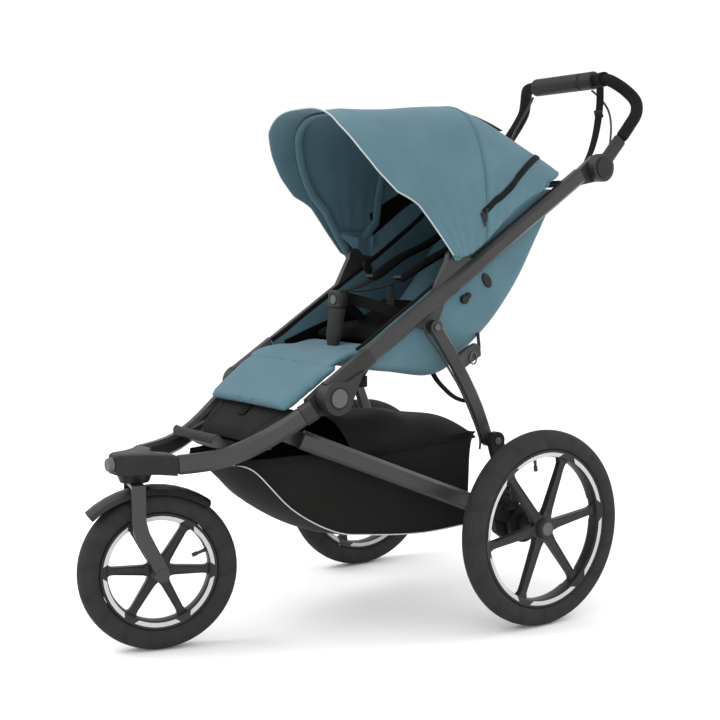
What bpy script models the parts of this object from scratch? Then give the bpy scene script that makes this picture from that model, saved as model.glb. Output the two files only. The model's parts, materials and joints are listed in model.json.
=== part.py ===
"""Three-wheel jogging stroller with a folding frame, in metres, +Z up, facing -Y.

Places are written from the middle of the rear axle's line on the ground, with +X to the
child's left, and AXLE_Y moves them so that the origin is under the middle of the stroller.
Each piece is one object. It hangs from an empty that stands on the axis its body turns about.
"""

import math

import bmesh
import bpy
from mathutils import Matrix, Vector

AXLE_Y = 0.2286
GAP = 0.0003
SIDES = {"left": 1, "right": -1}

# Wheels
REAR_RADIUS, REAR_TYRE_WIDTH, REAR_RIM_RADIUS = 0.203, 0.046, 0.1640
FRONT_RADIUS, FRONT_TYRE_WIDTH, FRONT_RIM_RADIUS = 0.156, 0.050, 0.1150
REAR_WHEEL_X = 0.322
REAR_AXLE = Vector((0, 0, REAR_RADIUS))
SPOKES = 6

# Caster: the fork swivels about a vertical axis, and stands turned by CASTER_TURN.
SWIVEL_Y, TRAIL, CASTER_TURN = -0.761, 0.043, math.radians(-16.5)
FRONT_AXLE = Vector((0, SWIVEL_Y + TRAIL, FRONT_RADIUS))
FORK_LEG_X, CROWN_BOTTOM, CROWN_TOP = 0.046, 0.324, 0.3315

# Pivots of the frame, on the left side
FOLD = Vector((0.19, -0.420, 0.488))
REAR_PIVOT = Vector((0.128, -0.505, 0.420))
STRUT_TOP = Vector((0.183, -0.172, 0.616))
STRUT_FOOT = Vector((0.2235, -0.055, 0.379))
HANDLE_PIVOT = Vector((0.19, 0.289, 0.9525))
CANOPY_PIVOT = Vector((0.190, -0.121, 0.757))
SEAT_PIVOT = Vector((0, -0.085, 0.572))
CARRIER_PIVOT = Vector((0.25, -0.100, 0.2478))

# Bars of the frame: width across, height, and the cut of the corners
BAR_WIDTH, BAR_HEIGHT, BAR_CUT = 0.025, 0.034, 0.007
UPPER_X, UPPER_START, UPPER_SLOPE = 0.18, (-0.363, 0.547), 0.6485
SEAT_HALF_WIDTH = 0.158
PIN_RADIUS, PIN_PLAY = 0.006, 0.0004

MATERIALS = {}
BODIES = {}


# ---------------------------------------------------------------- small tools


def material(name, colour, roughness, metallic=0.0):
    made = bpy.data.materials.new(name)
    made.use_nodes = True
    shader = made.node_tree.nodes["Principled BSDF"]
    shader.inputs["Base Color"].default_value = (*colour, 1)
    shader.inputs["Roughness"].default_value = roughness
    shader.inputs["Metallic"].default_value = metallic
    made.diffuse_color = (*colour, 1)
    MATERIALS[name] = made


def body(name, pivot, parent=None, turn=0.0):
    """An empty on the axis of a moving body. turn stands it, and its pieces, round the vertical."""
    empty = bpy.data.objects.new(f"{name}_axis", None)
    place = Matrix.Translation(Vector(pivot) + Vector((0, AXLE_Y, 0))) @ Matrix.Rotation(turn, 4, "Z")
    above = BODIES[parent][1] if parent else Matrix.Identity(4)
    empty.matrix_basis = above.inverted() @ place
    empty.parent = BODIES[parent][0] if parent else None
    bpy.context.scene.collection.objects.link(empty)
    BODIES[name] = (empty, place, Vector(pivot))


def new_object(name, data, body_name):
    thing = bpy.data.objects.new(name, data)
    thing.parent = BODIES[body_name][0]
    bpy.context.scene.collection.objects.link(thing)
    return thing


def add(name, mesh, finish, body_name, smooth=40):
    """Makes a piece of a mesh that is drawn in place, as its body stands before any turn."""
    bmesh.ops.recalc_face_normals(mesh, faces=mesh.faces)
    bmesh.ops.translate(mesh, vec=-BODIES[body_name][2], verts=mesh.verts)
    data = bpy.data.meshes.new(name)
    mesh.to_mesh(data)
    mesh.free()
    data.materials.append(MATERIALS[finish])
    data.shade_smooth()
    data.set_sharp_from_angle(angle=math.radians(smooth))
    return new_object(name, data, body_name)


def cut_or_join(thing, mesh, operation, body_name):
    """Gives a piece a Boolean with a hidden helper."""
    helper = add(f"{thing.name}_{operation.lower()}", mesh, "helper", body_name)
    helper.hide_render = True
    helper.display_type = "WIRE"
    step = thing.modifiers.new(operation, "BOOLEAN")
    step.operation = operation
    step.solver = "EXACT"
    step.object = helper


def on_side(point, side):
    return Vector((point[0] * SIDES[side], point[1], point[2]))


def plate(outline, low, high):
    """An outline in the YZ plane, made solid from x = low to x = high."""
    mesh = bmesh.new()
    face = mesh.faces.new([mesh.verts.new((low, y, z)) for y, z in outline])
    grown = bmesh.ops.extrude_face_region(mesh, geom=[face])["geom"]
    moved = [v for v in grown if isinstance(v, bmesh.types.BMVert)]
    bmesh.ops.translate(mesh, vec=(high - low, 0, 0), verts=moved)
    return mesh


def block(low, high):
    """A box between two corners."""
    mesh = bmesh.new()
    bmesh.ops.create_cube(mesh, size=1)
    low, high = Vector(low), Vector(high)
    bmesh.ops.scale(mesh, vec=high - low, verts=mesh.verts)
    bmesh.ops.translate(mesh, vec=(low + high) / 2, verts=mesh.verts)
    return mesh


def turned(profile, centre, steps=32):
    """A profile of (x, radius) points turned about the line through centre along X."""
    mesh = bmesh.new()
    verts = [mesh.verts.new((x, 0, radius)) for x, radius in profile]
    edges = []
    for one, other in zip(verts, verts[1:] + verts[:1]):
        if one.co.z > 0 or other.co.z > 0:
            edges.append(mesh.edges.new((one, other)))
    bmesh.ops.spin(
        mesh, geom=verts + edges, cent=(0, 0, 0), axis=(1, 0, 0), angle=math.tau, steps=steps, use_merge=True
    )
    bmesh.ops.remove_doubles(mesh, verts=mesh.verts, dist=1e-6)
    bmesh.ops.translate(mesh, vec=centre, verts=mesh.verts)
    return mesh


def disc(centre, radius, low, high, steps=28, bore=0.0):
    """A disc or a ring about X through centre, from x = low to x = high."""
    profile = [(low, bore), (low, radius), (high, radius), (high, bore)]
    return turned(profile, (0, centre[1], centre[2]), steps)


def swept(path, section):
    """A bar: a ring of (across, up) points carried along a path and closed at both ends."""
    mesh = bmesh.new()
    path = [Vector(point) for point in path]
    rings = []
    for number, point in enumerate(path):
        ahead = path[min(number + 1, len(path) - 1)]
        behind = path[max(number - 1, 0)]
        along = (ahead - behind).normalized()
        across = along.cross(Vector((0, 0, 1))).normalized()
        up = across.cross(along)
        verts = [mesh.verts.new(point + across * a + up * b) for a, b in section]
        edges = [mesh.edges.new(pair) for pair in zip(verts, verts[1:] + verts[:1])]
        rings.append((verts, edges))
    for (_, one), (_, other) in zip(rings, rings[1:]):
        bmesh.ops.bridge_loops(mesh, edges=one + other)
    mesh.faces.new(rings[0][0])
    mesh.faces.new(rings[-1][0])
    return mesh


def box_section(width, height, cut):
    """An upright rectangle with cut corners."""
    half, tall = width / 2, height / 2
    quarter = [(half - cut, tall), (half, tall - cut)]
    right = quarter + [(x, -z) for x, z in reversed(quarter)]
    return right + [(-x, z) for x, z in reversed(right)]


def round_section(radius, sides=12):
    turns = [math.tau * k / sides for k in range(sides)]
    return [(radius * math.cos(turn), radius * math.sin(turn)) for turn in turns]


def arc(centre, radius, start, end, count):
    """Points round a circle in the YZ plane, with angles in degrees from +Y towards +Z."""
    angles = [math.radians(start + (end - start) * k / (count - 1)) for k in range(count)]
    return [(centre[0] + radius * math.cos(a), centre[1] + radius * math.sin(a)) for a in angles]


def smooth_path(points, each=4):
    """Points along a smooth curve through the given points (Catmull-Rom)."""
    points = [Vector(p) for p in points]
    ends = [2 * points[0] - points[1], *points, 2 * points[-1] - points[-2]]
    made = []
    for a, b, c, d in zip(ends, ends[1:], ends[2:], ends[3:]):
        for k in range(each):
            t = k / each
            made.append(
                0.5 * (2 * b + (c - a) * t + (2 * a - 5 * b + 4 * c - d) * t**2 + (3 * b - a - 3 * c + d) * t**3)
            )
    return [*made, points[-1]]


def cord(name, points, radius, finish, body_name, fine=2):
    """A round wire or cable along a path."""
    data = bpy.data.curves.new(name, "CURVE")
    data.dimensions = "3D"
    data.bevel_depth = radius
    data.bevel_resolution = fine
    data.use_fill_caps = True
    spline = data.splines.new("POLY")
    spline.points.add(len(points) - 1)
    for knot, point in zip(spline.points, points):
        knot.co = (*(Vector(point) - BODIES[body_name][2]), 1)
    data.materials.append(MATERIALS[finish])
    return new_object(name, data, body_name)


def sheet(rows):
    """An open skin through rows of points, each row as long as the next."""
    mesh = bmesh.new()
    loops = []
    for row in rows:
        verts = [mesh.verts.new(point) for point in row]
        loops.append([mesh.edges.new(pair) for pair in zip(verts, verts[1:])])
    for one, other in zip(loops, loops[1:]):
        bmesh.ops.bridge_loops(mesh, edges=one + other)
    return mesh


def thicken(thing, depth, offset=-1.0):
    step = thing.modifiers.new("wall", "SOLIDIFY")
    step.thickness = depth
    step.offset = offset
    step.use_even_offset = True


def upper_line(y):
    """The height of the upper tube's middle line at y."""
    return UPPER_START[1] + (y - UPPER_START[0]) * UPPER_SLOPE


# ---------------------------------------------------------------- wheels


def tyre(name, radius, width, rim_radius, centre, body_name):
    """A pneumatic tyre: a closed ring with a crowned tread and a flat seat on the rim."""
    half = width / 2
    tall = radius - rim_radius
    seat = 0.62 * half
    profile = [
        (-seat, rim_radius + GAP),
        (-half * 0.95, rim_radius + 0.28 * tall),
        (-half, rim_radius + 0.50 * tall),
        (-half * 0.80, rim_radius + 0.80 * tall),
        (-half * 0.36, rim_radius + 0.975 * tall),
        (0, radius),
    ]
    profile += [(-x, r) for x, r in reversed(profile[:-1])]
    profile = [(x + centre.x, r) for x, r in profile]
    add(name, turned(profile, (0, centre.y, centre.z), 40), "tyre_rubber", body_name, smooth=60)


def star(centre, first_spoke, valley, reach, narrow, thick):
    """The beam spokes as one plate: wide where they meet at the hub, narrow at the rim.

    first_spoke is in degrees from +Z towards +Y.
    """
    outline = []
    for k in range(SPOKES):
        turn = math.radians(first_spoke) + math.tau * k / SPOKES
        out, side = (math.sin(turn), math.cos(turn)), (math.cos(turn), -math.sin(turn))
        for along, aside in ((reach, -narrow / 2), (reach, narrow / 2)):
            outline.append((centre.y + out[0] * along + side[0] * aside, centre.z + out[1] * along + side[1] * aside))
        between = turn + math.pi / SPOKES
        outline.append((centre.y + math.sin(between) * valley, centre.z + math.cos(between) * valley))
    return plate(outline, centre.x - thick / 2, centre.x + thick / 2)


def wheel_rim(name, centre, rim_radius, width, hub, first_spoke, body_name):
    """Rim ring, hub barrel with its bore, and six beam spokes, moulded in one piece.

    hub is (inner x, outer x, radius, bore), with x from the wheel's middle plane.
    """
    half = width / 2
    inner = rim_radius - 0.017
    ring = [
        (-half, rim_radius - GAP),
        (-half, inner + 0.004),
        (-half * 0.5, inner),
        (half * 0.5, inner),
        (half, inner + 0.004),
        (half, rim_radius - GAP),
    ]
    ring = [(x + centre.x, r) for x, r in ring]
    low, high, radius, bore = hub
    rim = add(name, turned(ring, (0, centre.y, centre.z), 40), "wheel_plastic", body_name)
    beams = star(centre, first_spoke, radius + 0.004, inner + 0.003, 0.017, 0.0155)
    cut_or_join(rim, beams, "UNION", body_name)
    cut_or_join(rim, disc(centre, radius, centre.x + low, centre.x + high, 24), "UNION", body_name)
    hole = disc(centre, bore, centre.x + low - 0.002, centre.x + high + 0.002, 16)
    cut_or_join(rim, hole, "DIFFERENCE", body_name)


# ---------------------------------------------------------------- caster


def fork():
    """Two flat legs joined by a crown, with the steerer above and the axle between their feet."""
    top, half = CROWN_TOP, 0.0135
    foot_y, foot_z = FRONT_AXLE.y, FRONT_AXLE.z
    outline = [
        (SWIVEL_Y - half, top),
        (SWIVEL_Y - half, 0.260),
        (SWIVEL_Y - half + 0.005, 0.232),
        (foot_y - 0.0125, foot_z + 0.004),
        *arc((foot_y, foot_z), 0.0145, 200, 360, 7),
        (foot_y + 0.0125, foot_z + 0.010),
        (SWIVEL_Y + half + 0.006, 0.240),
        (SWIVEL_Y + half, 0.264),
        (SWIVEL_Y + half, top),
    ]
    legs = add("fork", plate(outline, FORK_LEG_X - 0.004, FORK_LEG_X + 0.004), "frame_paint", "fork")
    cut_or_join(legs, plate(outline, -FORK_LEG_X - 0.004, -FORK_LEG_X + 0.004), "UNION", "fork")
    reach = FORK_LEG_X + 0.002
    crown = block((-reach, SWIVEL_Y - half + 0.001, CROWN_BOTTOM), (reach, SWIVEL_Y + half - 0.001, CROWN_TOP - 0.0005))
    cut_or_join(legs, crown, "UNION", "fork")
    steerer = bmesh.new()
    bmesh.ops.create_cone(steerer, cap_ends=True, segments=20, radius1=0.010, radius2=0.010, depth=0.042)
    bmesh.ops.translate(steerer, vec=(0, SWIVEL_Y, CROWN_TOP + 0.019), verts=steerer.verts)
    cut_or_join(legs, steerer, "UNION", "fork")
    cut_or_join(legs, disc(FRONT_AXLE, PIN_RADIUS, -0.048, 0.048, 16), "UNION", "fork")
    for x in (-0.0515, 0.0515):
        cut_or_join(legs, disc(FRONT_AXLE, 0.0125, min(x, x * 0.95), max(x, x * 0.95), 20), "UNION", "fork")


def mudguard():
    """A long arched guard over the front tyre, between the fork legs."""
    centre, radius, half = (FRONT_AXLE.y - 0.009, 0.1275), 0.1945, 0.034
    rows = []
    for y, z in arc(centre, radius, 55, 131, 12):
        out = Vector((0, y - centre[0], z - centre[1])).normalized()
        across = [(-half, -0.012), (-half * 0.8, -0.004), (-half * 0.35, 0), (half * 0.35, 0), (half * 0.8, -0.004)]
        across.append((half, -0.012))
        rows.append([Vector((x, y, z)) + out * drop for x, drop in across])
    guard = add("mudguard", sheet(rows), "moulded_black", "fork", smooth=60)
    thicken(guard, 0.0026, 0.0)


def caster():
    fork()
    mudguard()
    wheel_rim(
        "front_rim", FRONT_AXLE, FRONT_RIM_RADIUS, 0.034, (-0.0405, 0.0405, 0.0175, PIN_RADIUS + PIN_PLAY), 33, "front_wheel"
    )
    tyre("front_tyre", FRONT_RADIUS, FRONT_TYRE_WIDTH, FRONT_RIM_RADIUS, FRONT_AXLE, "front_wheel")


# ---------------------------------------------------------------- front frame

FRONT_TUBE = [
    (0.0793, -0.7070, 0.3700),
    (0.0960, -0.6600, 0.3735),
    (0.1120, -0.6120, 0.3825),
    (0.1290, -0.5620, 0.4035),
    (0.1470, -0.5160, 0.4300),
    (0.1600, -0.4810, 0.4530),
]


def nose():
    """The casting that joins the two front tubes, with the collar that holds the fork's steerer."""
    half = [
        (0.016, -0.8065),
        (0.029, -0.7960),
        (0.038, -0.7680),
        (0.058, -0.7390),
        (0.0895, -0.7140),
        (0.0665, -0.7060),
        (0.036, -0.7060),
        (0.012, -0.7220),
    ]
    outline = half + [(-x, y) for x, y in reversed(half)]
    mesh = bmesh.new()
    face = mesh.faces.new([mesh.verts.new((x, y, 0.3505)) for x, y in outline])
    grown = bmesh.ops.extrude_face_region(mesh, geom=[face])["geom"]
    top = [v for v in grown if isinstance(v, bmesh.types.BMVert)]
    bmesh.ops.translate(mesh, vec=(0, 0, 0.0385), verts=top)
    bmesh.ops.bevel(
        mesh,
        geom=[e for e in mesh.edges if all(v in top for v in e.verts)],
        offset=0.006,
        offset_type="OFFSET",
        segments=2,
        profile=0.5,
        affect="EDGES",
        material=-1,
    )
    casting = add("nose_casting", mesh, "moulded_black", "front_frame")
    collar = bmesh.new()
    bmesh.ops.create_cone(collar, cap_ends=True, segments=24, radius1=0.028, radius2=0.036, depth=0.020)
    bmesh.ops.translate(collar, vec=(0, SWIVEL_Y, CROWN_TOP + 0.0105), verts=collar.verts)
    cut_or_join(casting, collar, "UNION", "front_frame")
    bore = bmesh.new()
    bmesh.ops.create_cone(bore, cap_ends=True, segments=20, radius1=0.0105, radius2=0.0105, depth=0.060)
    bmesh.ops.translate(bore, vec=(0, SWIVEL_Y, CROWN_TOP + 0.0110), verts=bore.verts)
    cut_or_join(casting, bore, "DIFFERENCE", "front_frame")


def swivel_lock_knob():
    """The knob on the nose that locks the front wheel straight ahead."""
    knob = bmesh.new()
    bmesh.ops.create_cone(knob, cap_ends=True, segments=20, radius1=0.0150, radius2=0.0120, depth=0.011)
    bmesh.ops.rotate(knob, cent=(0, 0, 0), matrix=Matrix.Rotation(math.pi / 2, 3, "X"), verts=knob.verts)
    bmesh.ops.translate(knob, vec=(0, -0.8125, 0.3690), verts=knob.verts)
    add("swivel_lock_knob", knob, "grey_plastic", "swivel_lock_knob")


def front_tubes(side):
    """The curved lower tube, with the bracket and the pin that the rear frame turns on."""
    path = [on_side(p, side) for p in smooth_path(FRONT_TUBE, 2)]
    tube = add(f"front_tube_{side}", swept(path, box_section(BAR_WIDTH, 0.037, BAR_CUT)), "frame_paint", "front_frame")
    sign = SIDES[side]
    y, z = REAR_PIVOT.y, REAR_PIVOT.z
    root = block((0.1035, -0.578, 0.3900), (0.1320, -0.534, 0.4080))
    cheek = plate([(-0.578, 0.3905), (-0.540, 0.3905), *arc((y, z), 0.0165, -70, 110, 7), (-0.5780, 0.4075)], 0.1035, 0.1180)
    pin = disc(REAR_PIVOT, PIN_RADIUS, 0.110, 0.1288, 14)
    for mesh in (root, cheek, pin):
        bmesh.ops.scale(mesh, vec=(sign, 1, 1), verts=mesh.verts)
        cut_or_join(tube, mesh, "UNION", "front_frame")


def lower_hinge(side):
    """The front half of the fold hinge: a socket on the tube, an ear and the hinge pin."""
    path = [on_side(p, side) for p in ((0.1603, -0.4800, 0.4535), (0.1685, -0.4600, 0.4665))]
    socket = add(
        f"lower_hinge_{side}", swept(path, box_section(0.029, 0.040, 0.007)), "casting", "front_frame"
    )
    y, z = FOLD.y, FOLD.z
    ear = plate([(-0.466, 0.4430), *arc((y, z), 0.0300, -75, 100, 9), (-0.471, 0.4850)], 0.1500, 0.1650)
    pin = disc(FOLD, 0.008, 0.1560, 0.1930, 16)
    for mesh in (ear, pin):
        bmesh.ops.scale(mesh, vec=(SIDES[side], 1, 1), verts=mesh.verts)
        cut_or_join(socket, mesh, "UNION", "front_frame")


def footrest():
    """A moulded tray between the front tubes, with a raised lip in front."""
    rows = []
    for y, z, half in (
        (-0.634, 0.4150, 0.060),
        (-0.628, 0.4220, 0.085),
        (-0.618, 0.3960, 0.088),
        (-0.600, 0.3830, 0.091),
        (-0.570, 0.3860, 0.096),
        (-0.544, 0.4000, 0.098),
    ):
        rise = (1, 0.55, 0.15, 0, 0.15, 0.55, 1)
        edge = 0.016 if y > -0.62 else -0.006
        rows.append([Vector((half * (k - 3) / 3, y, z + edge * lift)) for k, lift in enumerate(rise)])
    tray = add("footrest", sheet(rows), "moulded_black", "front_frame", smooth=60)
    thicken(tray, 0.003, 0.0)


def calf_panel():
    """The tough fabric panel between the footrest and the leg rest."""
    rows = []
    for y, z, half in ((-0.548, 0.4250, 0.100), (-0.516, 0.4440, 0.114), (-0.484, 0.4640, 0.126)):
        rows.append([Vector((half * (k - 2) / 2, y, z)) for k in range(5)])
    panel = add("calf_panel", sheet(rows), "black_fabric", "front_frame")
    thicken(panel, 0.004, 0.0)


def leg_rest():
    """A cushion on the front tubes, in front of the seat."""
    rows = []
    for y, z, half in ((-0.513, 0.4670, 0.134), (-0.470, 0.4970, 0.140), (-0.430, 0.5240, 0.142), (-0.392, 0.5450, 0.142)):
        rows.append([Vector((half * k, y, z + 0.003 * (1 - k * k))) for k in (-1, -0.6, 0, 0.6, 1)])
    cushion = add("leg_rest", sheet(rows), "teal_fabric", "front_frame")
    thicken(cushion, 0.018, 0.0)


def front_frame():
    nose()
    swivel_lock_knob()
    for side in SIDES:
        front_tubes(side)
        lower_hinge(side)
    footrest()
    calf_panel()
    leg_rest()


# ---------------------------------------------------------------- upper frame


def upper_tube(side):
    """The straight tube, with the strut's bracket, the canopy's block and the handle's hub plate."""
    sign = SIDES[side]
    ends = [(sign * UPPER_X, y, upper_line(y)) for y in (-0.3346, 0.2330)]
    tube = add(f"upper_tube_{side}", swept(ends, box_section(BAR_WIDTH, BAR_HEIGHT, BAR_CUT)), "frame_paint", "upper_frame")
    strut = STRUT_TOP
    bracket = plate(
        [
            (-0.262, upper_line(-0.262) - 0.012),
            (-0.212, 0.6180),
            *arc((strut.y, strut.z), 0.0145, 215, 385, 7),
            (-0.130, upper_line(-0.130) - 0.012),
        ],
        0.1690,
        0.1755,
    )
    y, z = CANOPY_PIVOT.y, CANOPY_PIVOT.z
    canopy_block = plate(
        [(-0.180, upper_line(-0.180) + 0.010), (-0.060, upper_line(-0.060) + 0.010), *arc((y, z), 0.017, 10, 190, 7)],
        0.1700,
        0.1840,
    )
    y, z = HANDLE_PIVOT.y, HANDLE_PIVOT.z
    hub = plate(
        [(0.222, upper_line(0.222) - 0.016), *arc((y, z), 0.0290, -75, 135, 13), (0.222, upper_line(0.222) + 0.012)],
        0.1675,
        0.1800,
    )
    for mesh in (bracket, canopy_block, hub):
        bmesh.ops.scale(mesh, vec=(sign, 1, 1), verts=mesh.verts)
        cut_or_join(tube, mesh, "UNION", "upper_frame")
    bore = disc(HANDLE_PIVOT, 0.0115, 0.1600, 0.1900, 20)
    bmesh.ops.scale(bore, vec=(sign, 1, 1), verts=bore.verts)
    cut_or_join(tube, bore, "DIFFERENCE", "upper_frame")


def release_button(side):
    """The button inside the handle's hub that frees its tilt."""
    knob = turned(
        [(0.1570, 0), (0.1570, 0.0085), (0.1585, 0.0108), (0.1750, 0.0108), (0.1750, 0)],
        (0, HANDLE_PIVOT.y, HANDLE_PIVOT.z),
        20,
    )
    bmesh.ops.scale(knob, vec=(SIDES[side], 1, 1), verts=knob.verts)
    add(f"release_button_{side}", knob, "grey_plastic", f"release_button_{side}")


def upper_hinge(side):
    """The upper half of the fold hinge: a sleeve on the tube and the round cover, bored for the pin."""
    sign = SIDES[side]
    ends = [(sign * UPPER_X, y, upper_line(y)) for y in (-0.4330, -0.3349)]
    sleeve = add(f"upper_hinge_{side}", swept(ends, box_section(0.028, 0.037, 0.007)), "casting", "upper_frame")
    y, z = FOLD.y, FOLD.z
    web = plate(
        [(-0.4400, upper_line(-0.433)), *arc((y, z), 0.0340, 160, 350, 12), (-0.3600, upper_line(-0.360) - 0.010)],
        0.1660,
        0.1995,
    )
    round_cover = disc(FOLD, 0.0340, 0.1660, 0.1995, 32)
    bore = disc(FOLD, 0.0084, 0.1500, 0.1940, 18)
    for mesh, operation in ((web, "UNION"), (round_cover, "UNION"), (bore, "DIFFERENCE")):
        bmesh.ops.scale(mesh, vec=(sign, 1, 1), verts=mesh.verts)
        cut_or_join(sleeve, mesh, operation, "upper_frame")


# The seat's outside, from the front edge under the child and up the back, as (y, z)
SEAT_PROFILE = [
    (-0.345, 0.556),
    (-0.310, 0.537),
    (-0.235, 0.526),
    (-0.160, 0.515),
    (-0.110, 0.527),
    (-0.060, 0.566),
    (0.010, 0.625),
    (0.080, 0.708),
    (0.135, 0.800),
    (0.190, 0.903),
]
# How far the seat's side walls reach at each of those places, as (y, z)
SEAT_RIM = [
    (-0.352, 0.575),
    (-0.322, 0.592),
    (-0.262, 0.632),
    (-0.205, 0.668),
    (-0.160, 0.698),
    (-0.112, 0.728),
    (-0.062, 0.760),
    (-0.010, 0.796),
    (0.052, 0.840),
    (0.125, 0.903),
]


def seat_sling():
    """The fabric tub that hangs between the upper tubes, open in front and above."""
    rows = []
    for (y, z), (rim_y, rim_z) in zip(SEAT_PROFILE, SEAT_RIM):
        low, high = Vector((0, y, z)), Vector((0, rim_y, rim_z))
        half = SEAT_HALF_WIDTH
        wall = [
            (half, 1.0),
            (half, 0.5),
            (half * 0.985, 0.18),
            (half * 0.90, 0.02),
            (half * 0.45, 0.0),
        ]
        left = [low.lerp(high, rise) + Vector((x, 0, 0)) for x, rise in wall]
        rows.append([*left, low, *[Vector((-p.x, p.y, p.z)) for p in reversed(left)]])
    sling = add("seat_sling", sheet(rows), "teal_fabric", "upper_frame", smooth=60)
    thicken(sling, 0.004, 1.0)


def seat_pad():
    """The flat cushion that the child sits on."""
    rows = []
    for y, z in ((-0.338, 0.5700), (-0.310, 0.5590), (-0.235, 0.5480), (-0.160, 0.5400), (-0.118, 0.5470)):
        rows.append([Vector((0.134 * k, y, z)) for k in (-1, -0.5, 0, 0.5, 1)])
    pad = add("seat_pad", sheet(rows), "black_fabric", "upper_frame")
    thicken(pad, 0.014, 0.0)


def backrest():
    """The stiff padded panel that reclines inside the tub."""
    rows = []
    for y, z, half in (
        (-0.0850, 0.5850, 0.126),
        (-0.0450, 0.6200, 0.132),
        (0.0180, 0.6810, 0.135),
        (0.0800, 0.7600, 0.135),
        (0.1220, 0.8400, 0.130),
    ):
        rows.append([Vector((half * k, y - 0.012, z + 0.010)) for k in (-1, -0.5, 0, 0.5, 1)])
    panel = add("backrest", sheet(rows), "teal_fabric", "backrest")
    thicken(panel, 0.016, 0.0)


def shoulder_strap(side):
    """A shoulder belt with its pad, from the backrest towards the buckle."""
    sign = SIDES[side]
    route = [(0.050, 0.0480, 0.8130), (0.055, -0.0120, 0.7800), (0.058, -0.0800, 0.7520), (0.050, -0.1540, 0.7120)]
    path = smooth_path([(x * sign, y, z) for x, y, z in route], 3)
    add(f"shoulder_strap_{side}", swept(path, box_section(0.040, 0.012, 0.004)), "webbing", "backrest")


def lap_harness():
    """The padded crotch strap, the buckle and the lap belt."""
    route = [(0, -0.2880, 0.5695), (0, -0.2935, 0.5900), (0, -0.2920, 0.6180), (0, -0.2870, 0.6490)]
    path = smooth_path(route, 2)
    section = box_section(0.044, 0.016, 0.005)
    add("crotch_strap", swept(path, section), "webbing", "upper_frame")
    shell = block((-0.024, -0.2980, 0.6500), (0.024, -0.2740, 0.6880))
    bmesh.ops.bevel(
        shell, geom=shell.edges[:], offset=0.006, segments=2, profile=0.5, affect="EDGES", material=-1
    )
    buckle = add("harness_buckle", shell, "moulded_black", "upper_frame")
    pocket = disc((0, 0, 0), 0.0105, -0.0140, 0, 20)
    bmesh.ops.rotate(pocket, cent=(0, 0, 0), matrix=Matrix.Rotation(math.pi / 2, 3, "Z"), verts=pocket.verts)
    bmesh.ops.translate(pocket, vec=(0, -0.2870, 0.6690), verts=pocket.verts)
    cut_or_join(buckle, pocket, "DIFFERENCE", "upper_frame")
    button = disc((0, 0, 0), 0.0098, -0.0080, 0, 20)
    bmesh.ops.rotate(button, cent=(0, 0, 0), matrix=Matrix.Rotation(math.pi / 2, 3, "Z"), verts=button.verts)
    bmesh.ops.translate(button, vec=(0, -0.2925, 0.6690), verts=button.verts)
    add("buckle_button", button, "grey_plastic", "buckle_button")
    route = [(-0.132, -0.118, 0.600), (-0.100, -0.160, 0.625), (-0.055, -0.225, 0.655), (0, -0.2625, 0.670)]
    path = smooth_path(route + [(-x, y, z) for x, y, z in reversed(route[:-1])], 2)
    add("lap_belt", swept(path, box_section(0.006, 0.026, 0.002)), "webbing", "upper_frame")


def frame_crossbar():
    """The bar that joins the upper tubes behind the canopy."""
    y, z = 0.200, upper_line(0.200) + 0.004
    half = UPPER_X - BAR_WIDTH / 2 - 2 * GAP
    bar = block((-half, y - 0.014, z - 0.007), (half, y + 0.014, z + 0.007))
    bmesh.ops.bevel(bar, geom=bar.edges[:], offset=0.004, segments=2, profile=0.5, affect="EDGES", material=-1)
    add("frame_crossbar", bar, "moulded_black", "upper_frame")


def upper_frame():
    for side in SIDES:
        upper_tube(side)
        upper_hinge(side)
        release_button(side)
        shoulder_strap(side)
    seat_sling()
    seat_pad()
    backrest()
    lap_harness()
    frame_crossbar()


# ---------------------------------------------------------------- canopy

# From the visor's edge to the back: the hem's (x, y, z), the (y, z) of the top, and how far the
# side bulges forward on the way up (1 is a straight side, less bulges more)
CANOPY_STATIONS = [
    ((0.203, -0.133, 0.763), (-0.381, 1.059), 0.45),
    ((0.205, -0.124, 0.758), (-0.310, 1.062), 0.58),
    ((0.205, -0.110, 0.760), (-0.205, 1.070), 0.78),
    ((0.204, -0.085, 0.770), (-0.110, 1.080), 0.95),
    ((0.203, -0.050, 0.793), (-0.035, 1.080), 1.0),
    ((0.201, -0.015, 0.822), (0.030, 1.062), 1.0),
    ((0.199, 0.030, 0.858), (0.085, 1.036), 1.0),
    ((0.197, 0.075, 0.884), (0.140, 1.006), 1.0),
    ((0.194, 0.115, 0.900), (0.190, 0.977), 1.0),
    ((0.190, 0.132, 0.919), (0.222, 0.952), 1.0),
]
MID_BOW = 4
CANOPY_WALL = 0.003


def canopy_row(hem, top, bulge, inset=0.0, count=8):
    """Points over the child from the right hem to the left one, as one boxy arch."""
    half = hem[0] - inset
    left = []
    for k in range(count + 1):
        turn = math.pi / 2 * k / count
        rise = math.sin(turn)
        y = hem[1] + (top[0] - hem[1]) * rise**bulge
        z = hem[2] + (top[1] - inset - hem[2]) * rise
        left.append(Vector((half * math.cos(turn) ** 0.62 if k < count else 0.0, y, z)))
    return [Vector((-p.x, p.y, p.z)) for p in left[:-1]] + list(reversed(left))


def canopy_bow(name, station, foot_x, body_name):
    """A bent wire under the fabric, with its feet on the canopy's pivot."""
    arch = canopy_row(*CANOPY_STATIONS[station], inset=0.0075, count=9)
    foot = Vector((foot_x, CANOPY_PIVOT.y, CANOPY_PIVOT.z))
    path = [Vector((-foot.x, foot.y, foot.z)), *arch[1:-1], foot]
    cord(name, path, 0.0035, "frame_paint", body_name)


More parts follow.
